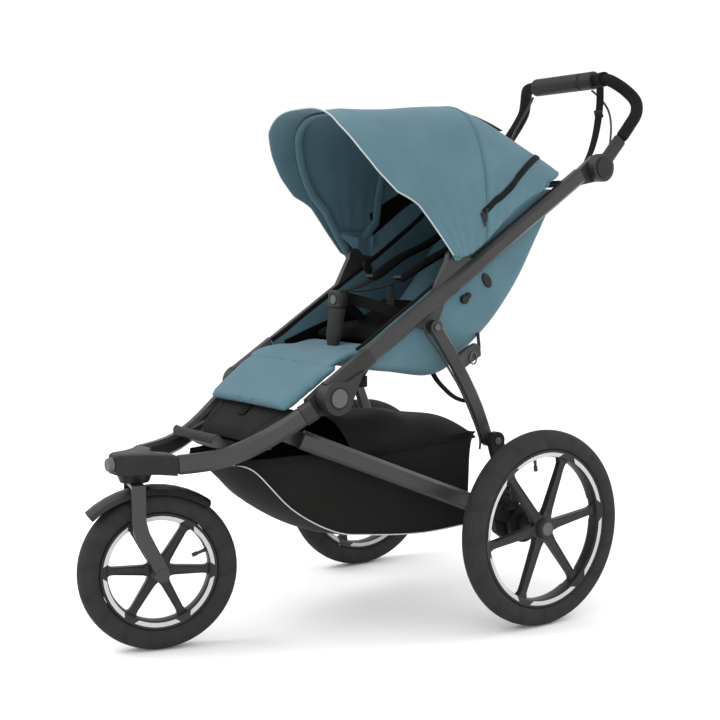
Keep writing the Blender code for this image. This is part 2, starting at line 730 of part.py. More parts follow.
def canopy():
    rows = [canopy_row(*station) for station in CANOPY_STATIONS]
    parts = (
        ("canopy_visor_fabric", rows[: MID_BOW + 1], "canopy_front"),
        ("canopy_rear_fabric", rows[MID_BOW:], "upper_frame"),
    )
    for name, part, body_name in parts:
        if body_name == "canopy_front":
            last = [p + Vector((0, -0.002, 0)) for p in part[-1]]
            part = part[:-1] + [last]
        skin = add(name, sheet(part), "teal_fabric", body_name, smooth=70)
        thicken(skin, CANOPY_WALL, -1.0)
    canopy_bow("canopy_middle_bow", MID_BOW, 0.1880, "canopy_middle")
    canopy_bow("canopy_front_bow", 1, 0.1965, "canopy_front")


# ---------------------------------------------------------------- handlebar

ARM_TOP = (0.1965, 0.345, 1.0195)
GRIP_ROUTE = [
    ARM_TOP,
    (0.1975, 0.370, 1.0490),
    (0.1970, 0.391, 1.0760),
    (0.1860, 0.4000, 1.1040),
    (0.1660, 0.388, 1.1300),
    (0.1400, 0.3680, 1.1520),
    (0.1210, 0.3602, 1.1566),
    (0.1035, 0.3590, 1.1570),
]
CONSOLE = Vector((0, 0.3590, 1.1570))
CONSOLE_RADIUS = 0.0205


def handle_arm(side):
    """The tilting arm: a round boss on the hub and a short bar up to the grip."""
    sign = SIDES[side]
    path = [on_side(p, side) for p in ((0.1910, 0.2990, 0.9645), (0.1960, 0.3415, 1.0153))]
    arm = add(f"handle_arm_{side}", swept(path, box_section(0.0190, 0.030, 0.006)), "casting", "handlebar")
    boss = disc(HANDLE_PIVOT, 0.0310, 0.1807, 0.2005, 32)
    bmesh.ops.scale(boss, vec=(sign, 1, 1), verts=boss.verts)
    cut_or_join(arm, boss, "UNION", "handlebar")


def grip(side):
    """The foam-covered bend from the arm to the console."""
    path = [on_side(p, side) for p in smooth_path(GRIP_ROUTE, 2)]
    add(f"handle_grip_{side}", swept(path, round_section(0.0138, 12)), "foam", "handlebar", smooth=60)


def console():
    """The middle of the handlebar, with a stub that the brake's twist grip turns on."""
    housing = turned(
        [
            (-0.1010, 0),
            (-0.1010, 0.0150),
            (-0.0950, CONSOLE_RADIUS),
            (0.0560, CONSOLE_RADIUS),
            (0.0600, 0.0170),
            (0.0600, 0.0100),
            (0.1008, 0.0100),
            (0.1008, 0),
        ],
        (0, CONSOLE.y, CONSOLE.z),
        24,
    )
    add("brake_console", housing, "moulded_black", "handlebar")
    twist = turned(
        [(0.0606, 0.0104), (0.0606, 0.0190), (0.0640, CONSOLE_RADIUS), (0.0960, CONSOLE_RADIUS), (0.1000, 0.0175), (0.1000, 0.0104)],
        (0, CONSOLE.y, CONSOLE.z),
        24,
    )
    add("brake_twist_grip", twist, "moulded_black", "brake_twist_grip")


def wrist_strap():
    """A webbing tether round the grip, hanging to the left hub."""
    path = [(0.128, 0.3500, 1.1395), (0.136, 0.3380, 1.1000), (0.146, 0.3200, 1.0450), (0.152, 0.3000, 0.9990), (0.1545, 0.2820, 0.9700)]
    add("wrist_strap", swept(smooth_path(path, 2), box_section(0.018, 0.0022, 0.0006)), "webbing", "handlebar")


# The cable from the console to the hub, and the one down the strut to the brake, both on the left
UPPER_CABLE = [
    (0.098, 0.3500, 1.1330),
    (0.118, 0.3560, 1.1150),
    (0.145, 0.3560, 1.0850),
    (0.163, 0.3470, 1.0500),
    (0.1725, 0.3350, 1.0100),
    (0.1735, 0.3270, 0.9800),
    (0.1735, 0.3205, 0.9600),
]
LOWER_CABLE = [
    (0.1860, -0.2050, 0.6250),
    (0.1900, -0.1980, 0.6000),
    (0.1960, -0.1740, 0.5700),
    (0.2030, -0.1470, 0.5260),
    (0.2090, -0.1260, 0.4900),
    (0.2160, -0.1020, 0.4370),
    (0.2185, -0.0800, 0.3850),
    (0.2200, -0.0810, 0.3600),
]


def cables(side):
    """The two visible lengths of the brake's cable. Between them it runs inside the tube."""
    for name, route, body_name in (
        (f"handle_cable_{side}", UPPER_CABLE, "handlebar"),
        (f"strut_cable_{side}", LOWER_CABLE, "strut"),
    ):
        path = smooth_path([on_side(p, side) for p in route], 3)
        cord(name, path, 0.0024, "cable", body_name)


def handlebar():
    for side in SIDES:
        handle_arm(side)
        grip(side)
        cables(side)
    console()
    wrist_strap()


# ---------------------------------------------------------------- rear frame


def lower_tube(side):
    """The long tube from the front tube back to the rear leg, with an eye at its front end."""
    sign = SIDES[side]
    path = [
        (0.1385, -0.4690, 0.4048),
        (0.1480, -0.4400, 0.3924),
        (0.1700, -0.3700, 0.3626),
        (0.2320, -0.1300, 0.2606),
        (0.2350, -0.1000, 0.2478),
        (0.2350, -0.0560, 0.2291),
    ]
    tube = add(
        f"lower_tube_{side}",
        swept([on_side(p, side) for p in path], box_section(BAR_WIDTH, 0.037, BAR_CUT)),
        "frame_paint",
        "rear_frame",
    )
    y, z = REAR_PIVOT.y, REAR_PIVOT.z
    eye = plate([*arc((y, z), 0.0165, 70, 250, 9), (-0.456, 0.3820), (-0.448, 0.4120)], 0.1190, 0.1285)
    hole = disc(REAR_PIVOT, PIN_RADIUS + PIN_PLAY, 0.100, 0.1450, 14)
    hinge = disc(CARRIER_PIVOT, PIN_RADIUS + PIN_PLAY, 0.2330, 0.2600, 14)
    for mesh, operation in ((eye, "UNION"), (hole, "DIFFERENCE"), (hinge, "DIFFERENCE")):
        bmesh.ops.scale(mesh, vec=(sign, 1, 1), verts=mesh.verts)
        cut_or_join(tube, mesh, operation, "rear_frame")


def rear_leg(side):
    """The casting from the strut's foot down to the end of the lower tube, with the spring's upper seat."""
    sign = SIDES[side]
    y, z = STRUT_FOOT.y, STRUT_FOOT.z
    outline = [
        *arc((y, z), 0.0190, -20, 200, 9),
        (-0.0660, 0.3500),
        (-0.0480, 0.3000),
        (-0.0400, 0.2621),
        (-0.0610, 0.2120),
        (-0.0560, 0.1850),
        (-0.0350, 0.1700),
        (-0.0080, 0.1700),
        (0.0080, 0.1850),
        (0.0060, 0.2500),
        (-0.0120, 0.3200),
        (-0.0300, 0.3600),
    ]
    leg = plate(outline, 0.2335, 0.2475)
    bmesh.ops.scale(leg, vec=(sign, 1, 1), verts=leg.verts)
    casting = add(f"rear_leg_{side}", leg, "moulded_black", "rear_frame")
    seat = block((0.2440, -0.0700, 0.3370), (0.2750, -0.0440, 0.3440))
    boss = disc(STRUT_FOOT, 0.0165, 0.2285, 0.2400, 20)
    for mesh in (seat, boss):
        bmesh.ops.scale(mesh, vec=(sign, 1, 1), verts=mesh.verts)
        cut_or_join(casting, mesh, "UNION", "rear_frame")


def rear_crossbar():
    half = 0.2335 - GAP
    bar = disc((0, -0.0240, 0.1930), 0.0150, -half, half, 20)
    add("rear_crossbar", bar, "frame_paint", "rear_frame")


def axle_carrier(side):
    """The sprung arm that holds the wheel: a plate, the brake's round housing and the stub axle."""
    sign = SIDES[side]
    pivot, axle = CARRIER_PIVOT, REAR_AXLE
    outline = [
        *arc((pivot.y, pivot.z), 0.0150, 75, 240, 7),
        (-0.040, 0.2060),
        *arc((axle.y, axle.z), 0.0200, 220, 400, 7),
        (-0.0260, 0.2420),
        (-0.0540, 0.2440),
    ]
    arm = plate(outline, 0.2482, 0.2602)
    bmesh.ops.scale(arm, vec=(sign, 1, 1), verts=arm.verts)
    carrier = add(f"axle_carrier_{side}", arm, "moulded_black", f"axle_carrier_{side}")
    name = f"axle_carrier_{side}"
    for mesh in (
        block((0.2560, -0.0540, 0.2360), (0.2750, -0.0270, 0.2430)),
        disc(pivot, PIN_RADIUS, 0.2360, 0.2500, 12),
        disc(axle, 0.0400, 0.2590, 0.2720, 28),
        disc(axle, PIN_RADIUS, 0.2700, 0.3380, 16),
    ):
        bmesh.ops.scale(mesh, vec=(sign, 1, 1), verts=mesh.verts)
        cut_or_join(carrier, mesh, "UNION", name)


def suspension_spring(side):
    """A coil spring between the leg's seat and the carrier's."""
    top, foot = Vector((0.2635, -0.0560, 0.3365)), Vector((0.2635, -0.0410, 0.2434))
    wire, radius, turns, each = 0.0016, 0.0088, 6, 9
    down = foot - top
    along = down.normalized()
    ahead = Vector((1, 0, 0))
    aside = along.cross(ahead)
    count = turns * each
    points = []
    for k in range(count + 1):
        turn = math.tau * k / each
        inset = along * (wire + GAP) * (1 - 2 * k / count)
        points.append(top + down * k / count + inset + ahead * radius * math.cos(turn) + aside * radius * math.sin(turn))
    cord(f"suspension_spring_{side}", [on_side(p, side) for p in points], wire, "spring_steel", "rear_frame", fine=1)


def strut(side):
    """The bar from the upper tube down to the rear leg, with a side bracket behind it."""
    sign = SIDES[side]
    path = [(0.1850, -0.1690, 0.6100), (0.1915, -0.1480, 0.5750), (0.2030, -0.1130, 0.5100), (0.2110, -0.0820, 0.4450), (0.2130, -0.0560, 0.3810)]
    bar = add(
        f"strut_{side}",
        swept([on_side(p, side) for p in smooth_path(path, 2)], box_section(0.0120, 0.0270, 0.003)),
        "frame_paint",
        "strut",
    )
    eye = disc(STRUT_TOP, 0.0150, 0.1764, 0.1900, 20)
    foot = disc(STRUT_FOOT, 0.0150, 0.2095, 0.2245, 20)
    bracket = plate(
        [(-0.128, 0.5560), (-0.1000, 0.5720), (-0.0800, 0.5800), (-0.0680, 0.5720), (-0.0660, 0.5540), (-0.1050, 0.5330), (-0.118, 0.5240)],
        0.1932,
        0.2045,
    )
    for mesh in (eye, foot, bracket):
        bmesh.ops.scale(mesh, vec=(sign, 1, 1), verts=mesh.verts)
        cut_or_join(bar, mesh, "UNION", "strut")


def rear_wheel(side):
    centre = on_side((REAR_WHEEL_X, 0, REAR_RADIUS), side)
    name = f"rear_wheel_{side}"
    low, high = (-0.0490, 0.0180) if side == "left" else (-0.0180, 0.0490)
    hub = (low, high, 0.0210, PIN_RADIUS + PIN_PLAY)
    wheel_rim(f"rear_rim_{side}", centre, REAR_RIM_RADIUS, 0.032, hub, 22, name)
    tyre(f"rear_tyre_{side}", REAR_RADIUS, REAR_TYRE_WIDTH, REAR_RIM_RADIUS, centre, name)


# The basket's outside as it hangs: (y, half width, top of the side, its lower seam, middle of the bottom)
BASKET_STATIONS = [
    (-0.597, 0.084, 0.3640, 0.3600, 0.352),
    (-0.557, 0.106, 0.3630, 0.3450, 0.308),
    (-0.479, 0.122, 0.3660, 0.2630, 0.245),
    (-0.390, 0.136, 0.3680, 0.2110, 0.196),
    (-0.319, 0.155, 0.3690, 0.1990, 0.186),
    (-0.200, 0.178, 0.3800, 0.1920, 0.180),
    (-0.085, 0.190, 0.3920, 0.1990, 0.188),
]
BASKET_REAR = -0.064
# The cover over its rear part: (y, half width, height of its edges, height of its middle)
BASKET_COVER = [
    (-0.350, 0.1470, 0.3640, 0.430),
    (-0.200, 0.1770, 0.3730, 0.430),
    (-0.066, 0.1890, 0.3840, 0.412),
]


def basket():
    """The storage bag: a sagging tub closed behind, with an arched cover that leaves its front open."""
    rows = []
    for y, half, top, seam, bottom in BASKET_STATIONS:
        left = [(half, top), (half, (top + seam) / 2), (half * 0.98, seam), (half * 0.55, bottom + 0.25 * (seam - bottom))]
        row = [Vector((x, y, z)) for x, z in left]
        rows.append([*row, Vector((0, y, bottom)), *[Vector((-p.x, p.y, p.z)) for p in reversed(row)]])
    rows.append([Vector((p.x, BASKET_REAR, BASKET_STATIONS[-1][2])) for p in rows[-1]])
    bag = add("basket", sheet(rows), "black_fabric", "rear_frame", smooth=60)
    thicken(bag, 0.004, 1.0)
    rows = []
    for y, half, edge, middle in BASKET_COVER:
        rise = [(1, 0), (0.94, 0.34), (0.70, 0.74), (0.36, 0.95), (0, 1)]
        row = [Vector((half * x, y, edge + (middle - edge) * z)) for x, z in rise]
        rows.append(row + [Vector((-p.x, p.y, p.z)) for p in reversed(row[:-1])])
    cover = sheet(rows)
    bmesh.ops.solidify(cover, geom=cover.faces[:], thickness=0.004)
    cut_or_join(bag, cover, "UNION", "rear_frame")


def rear_frame():
    for side in SIDES:
        lower_tube(side)
        rear_leg(side)
        axle_carrier(side)
        suspension_spring(side)
        strut(side)
        rear_wheel(side)
    rear_crossbar()
    basket()


# ---------------------------------------------------------------- the stroller


def clear_scene():
    for thing in list(bpy.data.objects):
        bpy.data.objects.remove(thing)


def make_materials():
    material("frame_paint", (0.045, 0.043, 0.042), 0.42, 0.35)
    material("casting", (0.035, 0.034, 0.035), 0.48)
    material("moulded_black", (0.016, 0.016, 0.017), 0.50)
    material("wheel_plastic", (0.022, 0.022, 0.024), 0.45)
    material("grey_plastic", (0.075, 0.077, 0.080), 0.50)
    material("tyre_rubber", (0.030, 0.030, 0.031), 0.80)
    material("foam", (0.022, 0.022, 0.023), 0.85)
    material("teal_fabric", (0.150, 0.250, 0.300), 0.85)
    material("black_fabric", (0.014, 0.014, 0.014), 0.90)
    material("webbing", (0.020, 0.020, 0.020), 0.85)
    material("cable", (0.012, 0.012, 0.012), 0.45)
    material("spring_steel", (0.060, 0.060, 0.062), 0.35, 0.9)
    material("helper", (0.8, 0.1, 0.1), 0.5)


def make_bodies():
    swivel = (0, SWIVEL_Y, CROWN_TOP)
    body("front_frame", (0, 0, 0))
    body("swivel_lock_knob", (0, -0.8125, 0.3690), "front_frame")
    body("fork", swivel, "front_frame", CASTER_TURN)
    body("front_wheel", FRONT_AXLE, None)
    body("upper_frame", (0, FOLD.y, FOLD.z), "front_frame")
    body("rear_frame", (0, REAR_PIVOT.y, REAR_PIVOT.z), "front_frame")
    body("strut", (0, STRUT_TOP.y, STRUT_TOP.z), "upper_frame")
    body("handlebar", (0, HANDLE_PIVOT.y, HANDLE_PIVOT.z), "upper_frame")
    body("brake_twist_grip", CONSOLE, "handlebar")
    body("backrest", SEAT_PIVOT, "upper_frame")
    body("canopy_middle", (0, CANOPY_PIVOT.y, CANOPY_PIVOT.z), "upper_frame")
    body("canopy_front", (0, CANOPY_PIVOT.y, CANOPY_PIVOT.z), "canopy_middle")
    body("buckle_button", (0, -0.2910, 0.6690), "upper_frame")
    for side in SIDES:
        body(f"release_button_{side}", on_side(HANDLE_PIVOT, side), "upper_frame")
        body(f"axle_carrier_{side}", on_side(CARRIER_PIVOT, side), "rear_frame")
        body(f"rear_wheel_{side}", on_side((REAR_WHEEL_X, 0, REAR_RADIUS), side), f"axle_carrier_{side}")
    # The front wheel is drawn straight ahead and turned with the fork about the swivel.
    about = Matrix.Translation(Vector(swivel) + Vector((0, AXLE_Y, 0))) @ Matrix.Rotation(CASTER_TURN, 4, "Z")
    wheel, _, pivot = BODIES["front_wheel"]
    wheel.parent = BODIES["fork"][0]
    wheel.matrix_basis = Matrix.Translation(pivot - Vector(swivel))
    BODIES["front_wheel"] = (wheel, about @ wheel.matrix_basis, pivot)


def main():
    clear_scene()
    make_materials()
    make_bodies()
    caster()
    front_frame()
    upper_frame()
    canopy()
    handlebar()
    rear_frame()


main()
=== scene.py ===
"""Looks of a three-wheel jogging stroller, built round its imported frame.

Everything is in metres, +Z up, the stroller facing -Y with +X to the child's left. Places that
the frame does not give are written from the rear axle's line, and AXLE_Y moves them.
"""

import json
import logging
import math
from collections.abc import Callable, Sequence
from dataclasses import dataclass, field
from enum import Enum

import bmesh
import bpy
import numpy as np
from mathutils import Matrix, Vector

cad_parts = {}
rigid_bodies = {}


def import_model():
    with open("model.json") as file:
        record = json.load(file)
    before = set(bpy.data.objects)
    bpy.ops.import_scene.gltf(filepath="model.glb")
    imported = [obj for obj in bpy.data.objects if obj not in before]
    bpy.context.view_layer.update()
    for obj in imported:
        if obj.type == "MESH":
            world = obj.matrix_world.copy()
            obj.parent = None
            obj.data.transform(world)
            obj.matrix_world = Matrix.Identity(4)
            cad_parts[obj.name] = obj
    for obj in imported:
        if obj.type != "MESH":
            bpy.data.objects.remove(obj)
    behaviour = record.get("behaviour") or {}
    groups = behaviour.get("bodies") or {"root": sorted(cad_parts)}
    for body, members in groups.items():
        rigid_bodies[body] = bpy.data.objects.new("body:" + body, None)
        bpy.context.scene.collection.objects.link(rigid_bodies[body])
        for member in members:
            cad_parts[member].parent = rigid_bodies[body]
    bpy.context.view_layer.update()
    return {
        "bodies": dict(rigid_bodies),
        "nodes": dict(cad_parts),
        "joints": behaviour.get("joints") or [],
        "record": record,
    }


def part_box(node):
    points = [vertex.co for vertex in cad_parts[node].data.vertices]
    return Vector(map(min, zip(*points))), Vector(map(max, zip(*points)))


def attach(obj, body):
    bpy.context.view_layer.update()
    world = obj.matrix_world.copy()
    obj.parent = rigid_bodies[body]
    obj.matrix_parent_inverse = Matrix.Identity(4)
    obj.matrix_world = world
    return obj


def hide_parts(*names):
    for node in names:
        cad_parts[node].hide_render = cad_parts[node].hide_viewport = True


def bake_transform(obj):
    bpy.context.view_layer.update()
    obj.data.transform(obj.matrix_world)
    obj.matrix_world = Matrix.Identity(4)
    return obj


LOG = logging.getLogger("stroller")
AXLE_Y = 0.2286
SIDES = {"left": 1, "right": -1}
COAT_ROUGHNESS = 0.3
BUMP_STRENGTH = 0.6
# How much the texture's height weighs in the colour mix: its hollows get painted shade.
HOLLOW_SHADE_SHARE = 0.55
THREAD_TURN = 0.06
CLOTH_FRAMES = 15
SMOOTHINGS = 4
CABLE_ACROSS = 0.005
LENS_MM = 66.64
WORLD_STRENGTH = 1.06
Point = Sequence[float]
Row = Vector | np.ndarray


# ------------------------------------------------------------------ materials


def linear(code: str) -> tuple[float, float, float, float]:
    """An sRGB hex colour as linear RGBA.

    Args:
        code: six hex digits, with or without a hash.
    Returns:
        The linear colour with alpha 1.
    """
    parts = [int(code.lstrip("#")[k : k + 2], 16) / 255 for k in (0, 2, 4)]
    red, green, blue = (c / 12.92 if c <= 0.04045 else ((c + 0.055) / 1.055) ** 2.4 for c in parts)
    return red, green, blue, 1.0


def put(
    tree: bpy.types.NodeTree,
    kind: str,
    settings: dict | None = None,
    inputs: dict | None = None,
) -> bpy.types.Node:
    """Adds a node with its settings and links.

    Args:
        tree: the node tree it joins.
        kind: the node's type name.
        settings: values of the node itself, by name.
        inputs: a value or an output socket for each input, by name or number.
    Returns:
        The new node.
    """
    made = tree.nodes.new(kind)
    for name, value in (settings or {}).items():
        setattr(made, name, value)
    for name, value in (inputs or {}).items():
        if isinstance(value, bpy.types.NodeSocket):
            tree.links.new(value, made.inputs[name])
        else:
            made.inputs[name].default_value = value
    return made


class Texture(Enum):
    """What the surface of a finish is like close up."""

    SPARK = "fine pits of a spark-eroded mould, or of powder coat"
    FOAM = "open pores of grip foam"
    WEAVE = "crossed threads, on the piece's own map"
    CLOTH = "crossed threads, on places in space"
    RIB = "ribs across a webbing"
    TREAD = "marks on a tyre's shoulder"


@dataclass(frozen=True)
class Finish:
    """One material: its colours and the texture that its making leaves.

    Attributes:
        name: the finish in a maker's words.
        colour: the main colour, sRGB hex.
        shade: the darker colour, used as painted shade in the texture's hollows and as random tone in the patches, sRGB
            hex.
        texture: what the surface is like close up.
        grain_mm: size of that texture.
        depth_mm: how deep it looks.
        roughness: the shader's own roughness.
        metallic: the shader's own metallic value.
        patch_mm: size of the slow change of colour.
        sheen: soft light along the edge of cloth.
        coat: a clear film over the surface.
        specular: how much of the usual mirror-like light it gives back.
    """

    name: str
    colour: str
    shade: str
    texture: Texture
    grain_mm: float
    depth_mm: float
    roughness: float
    metallic: float = 0.0
    patch_mm: float = 60.0
    sheen: float = 0.0
    coat: float = 0.0
    specular: float = 0.5

    def height(
        self,
        tree: bpy.types.NodeTree,
        place: bpy.types.NodeSocket,
        surface: bpy.types.NodeSocket,
    ) -> bpy.types.NodeSocket:
        """The texture as a height from 0 to 1.

        Args:
            tree: the material's tree.
            place: coordinates in space, in metres.
            surface: coordinates on the piece's own map, in metres.
        Returns:
            The socket that gives the height.
        """
        fine = 1000 / self.grain_mm
        if self.texture is Texture.FOAM:
            pores = put(tree, "ShaderNodeTexVoronoi", {"feature": "F1"}, {"Vector": place, "Scale": fine})
            return pores.outputs["Distance"]
        if self.texture in (Texture.WEAVE, Texture.CLOTH):
            where = surface if self.texture is Texture.WEAVE else place
            waves = []
            for direction in ("X", "DIAGONAL" if self.texture is Texture.CLOTH else "Y"):
                turned = put(tree, "ShaderNodeMapping", {}, {"Vector": where, "Rotation": (0, 0, THREAD_TURN)})
                wave = put(
                    tree,
                    "ShaderNodeTexWave",
                    {"bands_direction": direction},
                    {"Vector": turned.outputs[0], "Scale": fine / math.tau, "Distortion": 0.6, "Detail": 1.0},
                )
                waves.append(wave.outputs["Fac"])
            return put(tree, "ShaderNodeMath", {"operation": "MAXIMUM"}, {0: waves[0], 1: waves[1]}).outputs[0]
        if self.texture is Texture.RIB:
            wave = put(
                tree,
                "ShaderNodeTexWave",
                {"bands_direction": "Y"},
                {"Vector": surface, "Scale": fine / math.tau},
            )
            return wave.outputs["Fac"]
        if self.texture is Texture.TREAD:
            slanted = put(tree, "ShaderNodeMapping", {}, {"Vector": surface, "Rotation": (0, 0, 0.5)})
            wave = put(
                tree,
                "ShaderNodeTexWave",
                {"bands_direction": "X", "wave_profile": "SIN"},
                {"Vector": slanted.outputs[0], "Scale": fine / math.tau, "Distortion": 1.2, "Detail": 0.0},
            )
            notch = put(
                tree,
                "ShaderNodeMapRange",
                {},
                {"Value": wave.outputs["Fac"], "From Min": 0.05, "From Max": 0.22},
            )
            return notch.outputs[0]
        noise = put(tree, "ShaderNodeTexNoise", {}, {"Vector": place, "Scale": fine, "Detail": 3.0, "Roughness": 0.6})
        return noise.outputs["Fac"]

    def build(self) -> bpy.types.Material:
        """Makes the material.

        Returns:
            The material, with its nodes.
        """
        made = bpy.data.materials.new(self.name)
        made.use_nodes = True
        tree = made.node_tree
        shader = tree.nodes["Principled BSDF"]
        coordinates = put(tree, "ShaderNodeTexCoord")
        place, surface = coordinates.outputs["Object"], coordinates.outputs["UV"]
        height = self.height(tree, place, surface)
        patches = put(
            tree, "ShaderNodeTexNoise", {}, {
                "Vector": place, "Scale": 1000 / self.patch_mm, "Detail": 4.0, "Roughness": 0.55,
            }
        )
        blotch = put(
            tree,
            "ShaderNodeMapRange",
            {},
            {"Value": patches.outputs["Fac"], "From Min": 0.3, "From Max": 0.7},
        )
        # Painted shade: the texture's low places take the shade colour; the noise patches add random darker tone.
        mixed = put(
            tree,
            "ShaderNodeMath",
            {"operation": "MULTIPLY_ADD"},
            {0: height, 1: HOLLOW_SHADE_SHARE, 2: blotch.outputs[0]},
        )
        share = put(tree, "ShaderNodeMapRange", {}, {"Value": mixed.outputs[0], "From Min": 0.0, "From Max": 1.5})
        colour = put(
            tree,
            "ShaderNodeMix",
            {"data_type": "RGBA"},
            {"Factor": share.outputs[0], 6: linear(self.shade), 7: linear(self.colour)},
        )
        tree.links.new(colour.outputs[2], shader.inputs["Base Color"])
        bump = put(
            tree, "ShaderNodeBump", {}, {"Height": height, "Strength": BUMP_STRENGTH, "Distance": self.depth_mm / 1000}
        )
        tree.links.new(bump.outputs[0], shader.inputs["Normal"])
        shader.inputs["Roughness"].default_value = self.roughness
        shader.inputs["Metallic"].default_value = self.metallic
        shader.inputs["Sheen Weight"].default_value = self.sheen
        shader.inputs["Coat Weight"].default_value = self.coat
        shader.inputs["Coat Roughness"].default_value = COAT_ROUGHNESS
        shader.inputs["Specular IOR Level"].default_value = self.specular
        made.diffuse_color = linear(self.colour)
        return made


# Satin powder coat on aluminium tube: a dark warm grey with a soft highlight along the cut corners.
POWDER = Finish("satin graphite powder coat", "343434", "2b2b2b", Texture.SPARK, 1.6, 0.05, 0.36, 0.30)
# Die-cast aluminium, painted: a little darker and duller than the tubes.
CASTING = Finish("painted die-cast aluminium", "262627", "1e1e1f", Texture.SPARK, 2.2, 0.08, 0.48, 0.10, specular=0.35)
# Glass-filled nylon from a spark-eroded mould: near black, with a fine matt grain.
NYLON = Finish("moulded black nylon", "1b1b1c", "141415", Texture.SPARK, 2.0, 0.10, 0.50, specular=0.25)
WHEEL_NYLON = Finish("moulded wheel nylon", "1f1f20", "18181a", Texture.SPARK, 3.0, 0.08, 0.44, specular=0.3)
# The grey parts that are pressed or turned by hand.
GREY_NYLON = Finish("moulded grey nylon", "505153", "444547", Texture.SPARK, 2.0, 0.12, 0.55)
TYRE = Finish("matt tyre rubber", "2b2b2b", "222222", Texture.TREAD, 34.0, 0.9, 0.82, patch_mm=25, specular=0.2)
FOAM = Finish("closed-cell grip foam", "1c1c1d", "101011", Texture.FOAM, 2.4, 0.35, 0.92, specular=0.12)
# Solution-dyed polyester, plain woven: threads drawn at 2.6 mm, several times their real pitch, so that they show.
TEAL = Finish(
    "blue-green woven polyester",
    "516f79",
    "47636d",
    Texture.WEAVE,
    2.6,
    0.10,
    0.86,
    patch_mm=90,
    sheen=0.08,
    specular=0.15,
)
TEAL_PAD = Finish(
    "blue-green padded polyester",
    "4f6d77",
    "466470",
    Texture.CLOTH,
    2.6,
    0.10,
    0.86,
    patch_mm=70,
    sheen=0.08,
    specular=0.15,
)
BLACK_CLOTH = Finish(
    "black woven polyester",
    "1b1c1a",
    "131412",
    Texture.WEAVE,
    3.0,
    0.14,
    0.88,
    patch_mm=110,
    sheen=0.03,
    specular=0.10,
)
BLACK_PAD = Finish("black spacer mesh", "0f0f10", "070707", Texture.CLOTH, 3.0, 0.25, 0.92, sheen=0.01, specular=0.04)
WEBBING = Finish("black ribbed webbing", "161616", "0c0c0c", Texture.RIB, 3.2, 0.25, 0.85, sheen=0.02, specular=0.10)
SOFT_GREY = Finish(
    "dark grey padded cloth",
    "2b2b2b",
    "1f1f1f",
    Texture.CLOTH,
    3.0,
    0.15,
    0.90,
    sheen=0.03,
    specular=0.10,
)
REFLECTIVE = Finish("reflective film", "b9babb", "a9aaab", Texture.SPARK, 1.2, 0.03, 0.32, patch_mm=8, coat=0.3)
PIPING = Finish("pale reflective piping", "b4b8b7", "a0a4a3", Texture.SPARK, 1.5, 0.05, 0.45)
CABLE = Finish("cable housing", "161616", "101010", Texture.SPARK, 1.0, 0.03, 0.40)
SPRING = Finish("black spring steel", "2a2a2c", "1e1e20", Texture.SPARK, 1.0, 0.02, 0.30, 0.8)
FLOOR = Finish("pale studio floor", "fbfbfb", "f9f9f9", Texture.SPARK, 40.0, 0.0, 0.9, patch_mm=900)

_MADE: dict[str, bpy.types.Material] = {}


def material(finish: Finish) -> bpy.types.Material:
    """The material of a finish, made once."""
    if finish.name not in _MADE:
        _MADE[finish.name] = finish.build()
    return _MADE[finish.name]


# ------------------------------------------------------------------ mesh tools


def at(x: float, y: float, z: float) -> Vector:
    """A place given from the rear axle's line."""
    return Vector((x, y + AXLE_Y, z))


def mirrored(points: Sequence[Vector], sign: int) -> list[Vector]:
    """The same places on the left (1) or the right (-1)."""
    return [Vector((p.x * sign, p.y, p.z)) for p in points]


def spline(a: Row, b: Row, c: Row, d: Row, u: float) -> Row:
    """The place at share u from b to c on a smooth curve through a, b, c and d."""
    return 0.5 * (2 * b + (c - a) * u + (2 * a - 5 * b + 4 * c - d) * u**2 + (3 * b - a - 3 * c + d) * u**3)


def between(rows: Sequence[Row], spot: float) -> Row:
    """The row at a place that may lie between two rows of a table.

    Args:
        rows: the table.
        spot: the place, counted in rows.
    Returns:
        The row on a smooth curve through the table.
    """
    last = len(rows) - 1
    k = int(min(max(math.floor(spot), 0), last - 1))
    return spline(rows[max(k - 1, 0)], rows[k], rows[k + 1], rows[min(k + 2, last)], spot - k)


def smooth_path(points: Sequence[Vector], each: int = 6) -> list[Vector]:
    """Points along a smooth curve through the given points.

    Args:
        points: the places it passes through.
        each: how many steps between two of them.
    Returns:
        The points of the curve, its ends among them.
    """
    ends = [2 * points[0] - points[1], *points, 2 * points[-1] - points[-2]]
    made = []
    for a, b, c, d in zip(ends, ends[1:], ends[2:], ends[3:]):
        for k in range(each):
            t = k / each
            made.append(spline(a, b, c, d, t))
    return [*made, points[-1].copy()]


def box_section(width: float, height: float, cut: float) -> list[tuple[float, float]]:
    """An upright rectangle with cut corners, as (across, up)."""
    half, tall = width / 2, height / 2
    right = [(half - cut, tall), (half, tall - cut), (half, cut - tall), (half - cut, -tall)]
    return right + [(-x, z) for x, z in reversed(right)]


def round_section(radius: float, sides: int = 16) -> list[tuple[float, float]]:
    """A circle, as (across, up)."""
    turns = [math.tau * k / sides for k in range(sides)]
    return [(radius * math.cos(t), radius * math.sin(t)) for t in turns]


